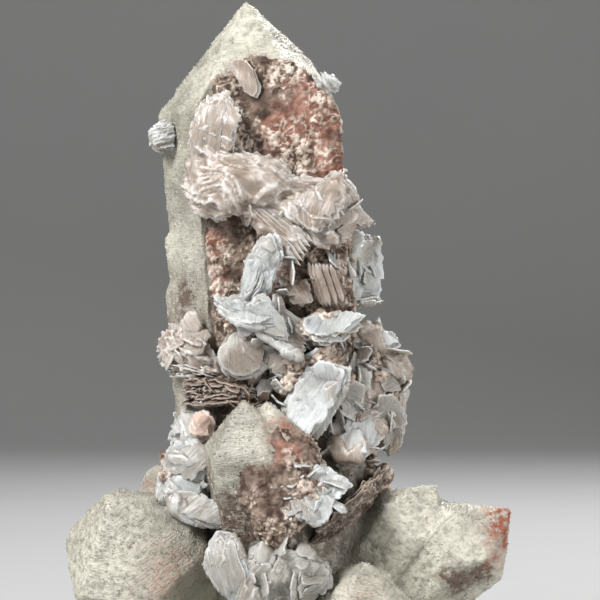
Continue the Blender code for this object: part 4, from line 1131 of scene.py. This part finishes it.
plate(
    right_mass,
    [(17.2, 34.6), (16.2, 37.5), (14.8, 40.0), (13.4, 39.4), (12.6, 36.5), (13.4, 33.8),
     (15.0, 32.6), (16.6, 33.4)],
    depth=-5.8, lean=(0.4, 0.0), thick=1.0, bow=0.3, leaves=3,
)
plate(
    right_mass,
    [(15.3, 34.6), (14.0, 37.9), (12.4, 39.5), (11.2, 39.0), (10.2, 36.0), (9.8, 33.2), (11.2, 31.2),
     (13.5, 31.4), (14.9, 32.6)],
    depth=-8.0, lean=(0.2, 0.1), thick=1.1, bow=0.2, leaves=3,
)
plate(
    right_mass,
    [(16.9, 30.6), (15.4, 32.6), (13.5, 33.2), (11.2, 32.6), (9.9, 30.9), (9.7, 28.4), (11.0, 26.8),
     (12.8, 26.3), (14.8, 27.4), (16.2, 28.9)],
    depth=-9.0, lean=(0.15, 0.25), thick=1.5, bow=0.4, leaves=4,
)
plate(
    right_mass,
    [(14.6, 29.4), (13.4, 31.0), (11.4, 30.8), (10.4, 29.0), (11.2, 27.2), (13.2, 26.8), (14.6, 27.9)],
    depth=-10.4, lean=(-0.4, 0.3), thick=0.8, leaves=2,
)
disc(right_mass, (15.6, 2.2, 35.0), (0.6, 0.8, 0.1), (4.6, 4.0), thick=1.4, seed=5)
disc(right_mass, (14.8, -1.0, 31.6), (0.9, -0.1, -0.3), (4.4, 4.6), thick=2.4, seed=6, leaves=4)
grown("right_mass", right_mass, white_calcite, "calcite_blade", "right_stack")
right_feathers = new_group()
ruffle(right_feathers, (13.6, -8.0, 35.4), (0.4, -1, 0), reach=4.6, size=1.8, count=26, seed=13)
ruffle(right_feathers, (16.6, -4.8, 36.0), (0.9, -0.5, 0), reach=4.6, size=1.9, count=22, seed=15)
ruffle(right_feathers, (13.6, -8.0, 30.4), (0.4, -1, 0), reach=4.4, size=1.8, count=20, seed=16)
grown("right_feathers", right_feathers, tinted_calcite, "calcite_blade", "right_stack")

# The left edge: a ledge of calcite, brown leaves under it, and bluish white blades that overlap like
# shingles below, with a smooth pink lobe between them.
mass(
    "ledge_mass", "left_ledge", veil_calcite, "calcite_blade",
    voxel=0.2, along=(0.9, 0, -0.4), fold=0.55, pitch=1.1, seed=2,
)
ledge = new_group()
plate(
    ledge,
    [(-3.0, -8.2), (-3.8, -5.0), (-6.6, -1.6), (-9.8, -0.6), (-11.5, -2.8), (-10.6, -6.2),
     (-7.8, -9.0), (-4.8, -9.8)],
    depth=38.1, lean=(-0.1, 0.06), thick=0.8, bow=0.3, view="top", leaves=3,
)
plate(
    ledge,
    [(-3.4, -7.6), (-4.8, -4.0), (-7.6, -1.4), (-9.6, -1.6), (-10.2, -4.4), (-8.4, -7.8), (-5.4, -9.0)],
    depth=37.3, lean=(-0.12, 0.06), thick=0.8, bow=0.3, view="top", leaves=3,
)
ruffle(ledge, (-7.6, -7.4, 40.6), (-0.5, -1, 0.1), reach=3.0, size=1.6, count=14, seed=17, wild=0.5)
grown("ledge", ledge, veil_calcite, "calcite_blade", "left_ledge")
mass(
    "left_leaves_mass", "left_brown_leaves", brown_calcite, "brown_calcite",
    voxel=0.2, along=(1, 0, 0.15), fold=0.5, pitch=0.9, seed=3,
)
left_leaves = new_group()
for k in range(8):
    swing = 0.5 * math.sin(2.4 * k)
    plate(
        left_leaves,
        [(2.0 - 0.15 * k + swing, -9.6), (0.2, -6.4), (-3.4, -4.4), (-6.8 + swing, -3.6),
         (-8.3 + 0.1 * k, -5.4), (-7.6 - swing, -8.4), (-5.2, -10.6 - 0.1 * k), (-1.6, -11.2 + swing)],
        depth=36.5 - 0.38 * k, lean=(-0.07 + 0.025 * k + 0.1 * swing, 0.05 + 0.1 * swing),
        thick=0.3, bow=0.4, view="top", leaves=1, tooth=0.45, ripple=0.5,
    )
ruffle(left_leaves, (-1.0, -10.0, 35.4), (-0.2, -1, -0.2), reach=3.6, size=1.5, count=16, seed=27)
grown("left_leaves", left_leaves, brown_calcite, "brown_calcite", "left_brown_leaves")
mass(
    "left_wing_core", "left_wing_blades", white_calcite, "calcite_blade",
    voxel=0.19, along=(0.8, 0, -0.4), fold=1.3, pitch=1.8, seed=7, leaves=6,
)
left_wing = new_group()
plate(
    left_wing,
    [(-4.4, 32.3), (-5.6, 33.6), (-7.5, 33.7), (-8.8, 32.5), (-9.5, 30.9), (-10.1, 29.2), (-8.1, 28.0),
     (-5.6, 28.4), (-3.8, 30.2)],
    depth=-7.4, lean=(-0.3, 0.2), thick=1.4, bow=0.3, leaves=3,
)
plate(
    left_wing,
    [(-3.2, 27.2), (-4.3, 29.2), (-6.9, 29.9), (-9.2, 29.3), (-10.3, 27.7), (-10.1, 25.2), (-8.8, 23.8),
     (-6.2, 23.6), (-4.5, 25.2)],
    depth=-9.0, lean=(-0.25, 0.25), thick=1.5, bow=0.5, leaves=4,
)
plate(
    left_wing,
    [(-5.0, 24.2), (-6.2, 25.8), (-8.8, 26.0), (-10.2, 24.6), (-9.8, 22.8), (-7.5, 22.2), (-5.6, 22.8)],
    depth=-9.6, lean=(-0.2, 0.3), thick=1.1, bow=0.2, leaves=3,
)
plate(
    left_wing,
    [(0.0, 18.9), (-1.9, 20.6), (-4.4, 22.2), (-6.9, 23.4), (-9.4, 23.6), (-10.7, 22.4), (-10.0, 20.8),
     (-7.5, 19.7), (-4.4, 18.7), (-1.9, 18.2)],
    depth=-10.6, lean=(-0.2, 0.35), thick=1.7, bow=0.3, leaves=4,
)
plate(
    left_wing,
    [(-9.4, 24.2), (-10.6, 25.3), (-11.4, 24.0), (-11.6, 21.7), (-10.8, 20.2), (-9.2, 21.4)],
    depth=-7.4, lean=(0.2, 0.1), thick=1.6, leaves=3,
)
disc(left_wing, (-8.2, -3.6, 28.6), (-0.95, -0.2, 0.1), (4.4, 4.4), thick=1.6, seed=8)
ruffle(left_wing, (-5.6, -8.6, 22.6), (-0.2, -1, 0), reach=3.0, size=1.2, count=12, seed=19)
grown("left_wing", left_wing, white_calcite, "calcite_blade", "left_wing_blades")

# The brown lumps that the blades grow from: calcite and clay stained by iron, rough and pitted, on the
# quartz and between the blades.
MATRIX_LUMPS = [  # middle and half sizes of each lump
    ((0.6, -11.0, 43.4), (3.1, 1.8, 2.3)),
    ((9.0, -10.4, 43.0), (3.1, 1.8, 2.2)),
    ((8.0, -8.4, 48.6), (3.0, 1.4, 2.8)),
    ((9.6, -9.6, 37.6), (2.9, 2.7, 3.3)),
    ((6.0, -9.6, 37.4), (3.3, 2.5, 2.9)),
    ((14.8, -4.0, 34.2), (3.5, 4.5, 6.7)),
    ((12.6, -7.4, 30.4), (2.7, 2.3, 3.7)),
    ((-7.8, -6.4, 24.4), (3.0, 3.0, 5.6)),
    ((7.2, -16.6, 23.8), (2.7, 1.3, 1.8)),
]


def lump(middle, size):
    """A rounded lump with a rough skin, as a mesh. The size is half its width each way."""
    bm = bmesh.new()
    bmesh.ops.create_icosphere(bm, subdivisions=5, radius=1.0)
    for vert in bm.verts:
        place = Vector(middle) + Vector([half * part for half, part in zip(size, vert.co)])
        swell = 1 + 0.35 * noise.noise(place * 0.5) + 0.1 * noise.noise(place * 1.7)
        vert.co = (Vector(middle) + (place - Vector(middle)) * swell) * MM
    return bm


def lumps(name, parts, slot, nodes, voxel, depth, pitch):
    """Joins lumps in one mesh, gives it a crust's skin and shows it in place of CAD nodes."""
    whole = bpy.data.meshes.new("lumps")
    joined = bmesh.new()
    for middle, size in parts:
        single = lump(middle, size)
        single.to_mesh(whole)
        single.free()
        joined.from_mesh(whole)
    joined.to_mesh(whole)
    joined.free()
    shown(name, crusted(remeshed(whole, voxel), depth, pitch), hematite_crust, slot, *nodes)


MATRIX_NODES = [
    "butterfly_blades", "wedge_blade", "fluted_stack", "centre_blade",
    "right_stack", "left_wing_blades", "front_blades",
]
lumps(
    "brown_matrix", MATRIX_LUMPS, "brown_calcite", MATRIX_NODES,
    voxel=0.22, depth=0.5, pitch=1.0,
)

# Pink calcite: a smooth lobe of a few thick leaves on the left, between the white blades, and lobes like
# pebbles on the right, which iron and clay have coated.
lobe = new_group()
plate(
    lobe,
    [(-3.8, 31.2), (-4.4, 32.8), (-5.9, 33.2), (-7.2, 32.2), (-7.5, 30.6), (-6.3, 29.5), (-4.7, 29.4)],
    depth=-10.3, lean=(-0.1, 0.2), thick=2.4, bow=0.3, leaves=3, tooth=0.3, ripple=0.7,
)
grown("pink_lobe_skin", lobe, pink_calcite, "pink_calcite", "pink_lobe")
PEBBLES = [
    ((16.6, -5.6, 24.9), (1.3, 1.45, 1.3)),
    ((16.2, -5.2, 22.9), (1.45, 1.7, 1.45)),
    ((15.6, -5.6, 21.6), (1.6, 2.1, 1.4)),
    ((15.0, -4.8, 24.2), (1.8, 1.9, 1.8)),
]
lumps("pebbles", PEBBLES, "pink_calcite", ["right_pebbles"], voxel=0.2, depth=0.12, pitch=0.8)

# The blade in the middle: the largest single blade, of bright white calcite, with a second one behind its
# right edge and small blades along its upper left, where it grew out of the brown lumps.
mass(
    "centre_core", "centre_blade", white_calcite, "calcite_blade",
    voxel=0.17, along=(0.4, 0, 1), fold=0.5, pitch=2.2, seed=12, leaves=5,
)
centre = new_group()
CENTRE_RIM = [
    (11.9, 38.8), (10.2, 39.3), (8.5, 39.3), (6.8, 38.2), (5.2, 36.2), (4.2, 33.8), (4.4, 31.7),
    (5.9, 30.4), (7.3, 29.5), (8.8, 31.2), (10.3, 34.0), (11.3, 36.2),
]
CENTRE_LEAN = (-0.42, 0.05)
plate(centre, CENTRE_RIM, depth=-12.4, lean=CENTRE_LEAN, thick=1.1, bow=-0.3, leaves=3, ripple=0.12)
behind = [(x + 0.75, z - 0.35) for x, z in CENTRE_RIM]
plate(centre, behind, depth=-11.6, lean=CENTRE_LEAN, thick=1.1, bow=-0.1)
ruffle(centre, (8.6, -9.8, 40.4), (0, -1, 0.2), reach=3.6, size=1.4, count=14, seed=21)
ruffle(centre, (4.4, -10.4, 36.4), (0, -1, 0.2), reach=3.0, size=1.2, count=12, seed=22)
grown("centre", centre, white_calcite, "calcite_blade", "centre_blade")

# Blades of white calcite that grew on the small point's crust, and brown leaves of calcite and clay beside
# it, which fan like the pages of a book.
mass(
    "front_core", "front_blades", white_calcite, "calcite_blade",
    voxel=0.16, along=(1, 0, -0.4), fold=0.9, pitch=1.3, seed=13, leaves=5,
)
front = new_group()
plate(
    front,
    [(12.8, 24.8), (10.6, 25.9), (8.5, 27.2), (6.9, 26.6), (6.9, 24.2), (8.0, 22.6), (11.0, 22.6),
     (12.1, 23.8)],
    depth=-16.4, lean=(0.1, 0.4), thick=0.9, bow=0.1, leaves=3, tooth=0.4,
)
plate(
    front,
    [(10.6, 22.7), (9.4, 24.2), (6.9, 24.3), (4.4, 23.6), (2.5, 22.8), (2.7, 21.4), (4.8, 20.5),
     (6.6, 20.4), (8.5, 19.4), (9.8, 20.2)],
    depth=-17.6, lean=(0.05, 0.45), thick=0.9, bow=0.3, leaves=3, tooth=0.4,
)
plate(
    front,
    [(8.0, 24.0), (6.3, 25.1), (3.8, 25.4), (1.6, 25.1), (2.2, 23.8), (4.4, 22.8), (6.6, 22.9)],
    depth=-17.2, lean=(0.0, 0.7), thick=0.8, leaves=3, tooth=0.4,
)
ruffle(front, (7.4, -16.6, 23.6), (0, -1, 0), reach=3.6, size=1.6, count=14, seed=25)
grown("front", front, white_calcite, "calcite_blade", "front_blades")
PAGES = 10
mass(
    "right_leaves_mass", "right_brown_leaves", brown_calcite, "brown_calcite",
    voxel=0.2, along=(0.75, 0.3, 0.5), fold=0.6, pitch=0.8, seed=4,
)
right_leaves = new_group()
for k in range(PAGES):
    step = k * 4 / (PAGES - 1)
    disc(
        right_leaves,
        (11.4 + 0.62 * step, -12.0 + 1.3 * step, 20.2 + 0.35 * step),
        (0.62 + 0.03 * step, -0.28, -0.75 + 0.06 * step),
        (4.6, 5.2 - 0.15 * step),
        turn=10 * step, thick=0.26, bow=0.5, seed=20 + step, leaves=1, tooth=0.5, ripple=0.3,
    )
grown("right_leaves", right_leaves, brown_calcite, "brown_calcite", "right_brown_leaves")

# The rosette at the foot, of calcite: one broad curved blade, which is white, and clearer petals that stand
# round a small core.
crescent = new_group()
plate(
    crescent,
    [(1.3, 10.8), (0.4, 14.0), (-0.6, 16.6), (-1.5, 18.3), (-3.5, 18.8), (-5.0, 16.9), (-5.3, 14.6),
     (-3.8, 12.0), (-1.9, 9.9), (0.1, 9.0)],
    depth=-15.6, lean=(-0.5, 0.1), thick=1.6, bow=0.6, leaves=4, tooth=0.15, ripple=0.12,
)
grown("crescent_blade", crescent, white_calcite, "calcite_blade", "foot_rosette")
mass(
    "rosette_core", "foot_rosette", tinted_calcite, "calcite_blade",
    voxel=0.17, along=(0.3, 0, 1), fold=1.0, pitch=1.4, seed=14, leaves=6,
)
rosette_group = new_group()
plate(
    rosette_group,
    [(6.3, 15.8), (5.3, 17.4), (3.5, 17.9), (1.5, 17.2), (0.6, 15.4), (2.0, 13.6), (5.2, 13.6)],
    depth=-16.0, lean=(0.1, 0.45), thick=1.2, bow=0.2, leaves=3,
)
plate(
    rosette_group,
    [(10.3, 12.2), (9.8, 14.6), (8.1, 16.1), (6.0, 15.8), (4.4, 14.2), (5.2, 12.0), (7.6, 10.8),
     (9.6, 10.9)],
    depth=-16.4, lean=(0.35, 0.1), thick=1.3, bow=0.3, leaves=3,
)
plate(
    rosette_group,
    [(6.6, 11.0), (5.4, 13.0), (2.6, 13.2), (0.6, 11.8), (0.6, 10.2), (2.2, 9.1), (4.8, 9.0)],
    depth=-16.6, lean=(0.0, -0.35), thick=1.2, bow=0.3, leaves=3,
)
plate(
    rosette_group,
    [(2.6, 12.0), (2.4, 14.8), (0.6, 15.8), (-1.0, 15.4), (-1.3, 13.6), (0.0, 11.2)],
    depth=-16.2, lean=(-0.5, 0.0), thick=1.1, leaves=3,
)
ruffle(rosette_group, (4.4, -16.8, 13.4), (0, -1, 0), reach=4.0, size=1.9, count=30, seed=23, wild=0.6)
ruffle(rosette_group, (4.1, -17.6, 13.6), (0, -1, 0), reach=1.4, size=1.1, count=12, seed=24, wild=0.5)
grown("rosette_at_foot", rosette_group, tinted_calcite, "calcite_blade", "foot_rosette")

# Small growths of white calcite on the tall point's shoulders: a tuft like a book of short leaves on the
# left, and a lobe on the right. Both grew on the druse.
mass(
    "tuft_leaves", "left_shoulder_tuft", white_calcite, "calcite_blade",
    voxel=0.13, along=(1, 0.3, 0.2), fold=0.35, pitch=0.7, seed=8,
)
mass(
    "shoulder_lump", "right_shoulder_lobe", white_calcite, "calcite_blade",
    voxel=0.13, along=(0.5, 0.5, -0.5), fold=0.45, pitch=0.8, seed=9,
)


# The rosettes on the back and the sides: white calcite again, in fewer blades that stand round a middle
# and lean away from the quartz.
def rosette(name, middle, outward, count, size, reach, seed):
    """Blades that stand round a middle, each facing away from it and a little outwards."""
    group = new_group()
    out = Vector(outward).normalized()
    side = out.cross(Vector((0, 0, 1))).normalized()
    top = side.cross(out)
    for k in range(count):
        angle = 2 * math.pi * (k + 0.37 * math.sin(seed + 3 * k)) / count
        away = side * math.cos(angle) + top * math.sin(angle)
        lean_out = 0.55 + 0.35 * math.sin(seed * 2 + 5 * k)
        disc(
            group,
            Vector(middle) + away * reach,
            away + out * lean_out,
            (size * (0.85 + 0.2 * math.sin(seed + k)), size * 0.8),
            turn=60 * k, thick=1.0, bow=0.35, seed=seed + k, leaves=3,
        )
    ruffle(group, middle, outward, reach=reach * 1.6, size=1.4, count=8, seed=seed + 40)
    grown(name + "_blades", group, white_calcite, "calcite_blade", name)
    mass(
        name + "_core", name, veil_calcite, "calcite_blade",
        voxel=0.2, along=outward, fold=0.35, pitch=1.2, seed=seed + 20,
    )


rosette("back_upper_rosette", (1.0, 8.2, 56.0), (0.1, 1, 0.15), count=4, size=4.2, reach=1.5, seed=1)
rosette("back_lower_rosette", (7.0, 9.6, 38.0), (0.2, 1, 0.2), count=5, size=4.8, reach=1.8, seed=2)
rosette("back_left_rosette", (-6.4, 6.6, 31.0), (-0.8, 0.7, 0.2), count=4, size=4.4, reach=1.6, seed=3)
rosette("right_side_rosette", (12.6, 4.0, 24.6), (0.9, 0.5, 0.3), count=4, size=4.2, reach=1.4, seed=4)

# The set: a matt, pale grey sweep of board that runs level from under the camera to behind the specimen,
# and bends up there, so that no edge shows.
SWEEP_WIDTH = 2400
SWEEP_NEAR = -1200.0
SWEEP_DEPTH = 900
SWEEP_RADIUS = 300
SWEEP_HEIGHT = 1400
BEND_STEPS = 12
sweep = bmesh.new()
bend_start = SWEEP_DEPTH - SWEEP_RADIUS
profile = [(SWEEP_NEAR, 0.0), (bend_start, 0.0)]
for k in range(1, BEND_STEPS + 1):
    angle = math.pi / 2 * k / BEND_STEPS
    rise = SWEEP_RADIUS * (1 - math.cos(angle))
    profile.append((bend_start + SWEEP_RADIUS * math.sin(angle), rise))
profile.append((SWEEP_DEPTH, SWEEP_HEIGHT))
corners = [sweep.verts.new((-SWEEP_WIDTH / 2 * MM, y * MM, z * MM)) for y, z in profile]
rails = [sweep.edges.new(pair) for pair in zip(corners, corners[1:])]
pulled = bmesh.ops.extrude_edge_only(sweep, edges=rails)
bmesh.ops.translate(
    sweep,
    vec=(SWEEP_WIDTH * MM, 0, 0),
    verts=[item for item in pulled["geom"] if isinstance(item, bmesh.types.BMVert)],
)
bmesh.ops.recalc_face_normals(sweep, faces=sweep.faces)
sweep_mesh = bpy.data.meshes.new("sweep")
sweep.to_mesh(sweep_mesh)
sweep.free()

# Board with a matt paper face, whose tone and gloss are a little uneven.
BOARD_CLOUD = 1000 / 9
BOARD_GLOSS_PATCH = 100 / 3
BOARD_TOOTH = 0.4


def board_colour(tree):
    """Two greys that hardly differ."""
    here = add(tree, "ShaderNodeTexCoord").outputs["Object"]
    settings = {"Scale": 1 / (BOARD_CLOUD * MM), "Detail": 3.0}
    cloud = add(tree, "ShaderNodeTexNoise", settings, {"Vector": here})
    return blend(tree, cloud.outputs["Fac"], "#a7a8a8", "#adaead")


def board_roughness(tree):
    """Matt, in patches."""
    here = add(tree, "ShaderNodeTexCoord").outputs["Object"]
    patch = add(tree, "ShaderNodeTexNoise", {"Scale": 1 / (BOARD_GLOSS_PATCH * MM)}, {"Vector": here})
    return spread(tree, patch.outputs["Fac"], 0.3, 0.7, 0.8, 0.95)


def board_bump(tree):
    """The tooth of the paper."""
    here = add(tree, "ShaderNodeTexCoord").outputs["Object"]
    tooth = add(tree, "ShaderNodeTexNoise", {"Scale": 1 / (BOARD_TOOTH * MM)}, {"Vector": here})
    settings = {"Strength": 0.1, "Distance": 0.0001}
    return add(tree, "ShaderNodeBump", settings, {"Height": tooth.outputs["Fac"]}).outputs["Normal"]


for face in sweep_mesh.polygons:
    face.use_smooth = True
sweep_mesh.materials.append(finish("matt_board", {}, board_colour, board_roughness, board_bump))
sweep_object = bpy.data.objects.new("sweep", sweep_mesh)
bpy.context.scene.collection.objects.link(sweep_object)

# The lights: a large soft one high on the left in front, a weaker one on the right, one behind and above
# for the rims, and an even grey room. A specimen is lit so, to show its blades and the velvet at once.
AIM = Vector((5, 0, 42)) * MM
LIGHTS = [  # name, place, width, watts
    ("key_light", (-300, -300, 360), 200, 4.4),
    ("fill_light", (420, -300, 140), 300, 1.8),
    ("rim_light", (160, 300, 380), 220, 2.2),
]
ROOM_STRENGTH = 0.12
for name, place, width, watts in LIGHTS:
    lamp = bpy.data.lights.new(name, "AREA")
    lamp.energy = watts
    lamp.size = width * MM
    stand = bpy.data.objects.new(name, lamp)
    stand.location = Vector(place) * MM
    stand.rotation_euler = (AIM - stand.location).to_track_quat("-Z", "Y").to_euler()
    bpy.context.scene.collection.objects.link(stand)
room = bpy.data.worlds.new("room")
room.use_nodes = True
background = room.node_tree.nodes["Background"]
background.inputs["Color"].default_value = linear("#f3f0ea")
background.inputs["Strength"].default_value = ROOM_STRENGTH
bpy.context.scene.world = room
bpy.context.scene.view_settings.view_transform = "Standard"

# The camera: level with the specimen's middle, and far enough in front to flatten it as in the
# photograph. Its frame is 75 mm wide where the specimen stands.
CAMERA_PLACE = (6.25, -400, 46.5)
FRAME_WIDTH = 75
SENSOR_WIDTH = 36
NEAREST = 20
lens = bpy.data.cameras.new("camera")
lens.sensor_width = SENSOR_WIDTH
lens.lens = SENSOR_WIDTH * abs(CAMERA_PLACE[1]) / FRAME_WIDTH
lens.clip_start = NEAREST * MM
camera = bpy.data.objects.new("camera", lens)
camera.location = Vector(CAMERA_PLACE) * MM
camera.rotation_euler = (math.pi / 2, 0, 0)
bpy.context.scene.collection.objects.link(camera)
bpy.context.scene.camera = camera
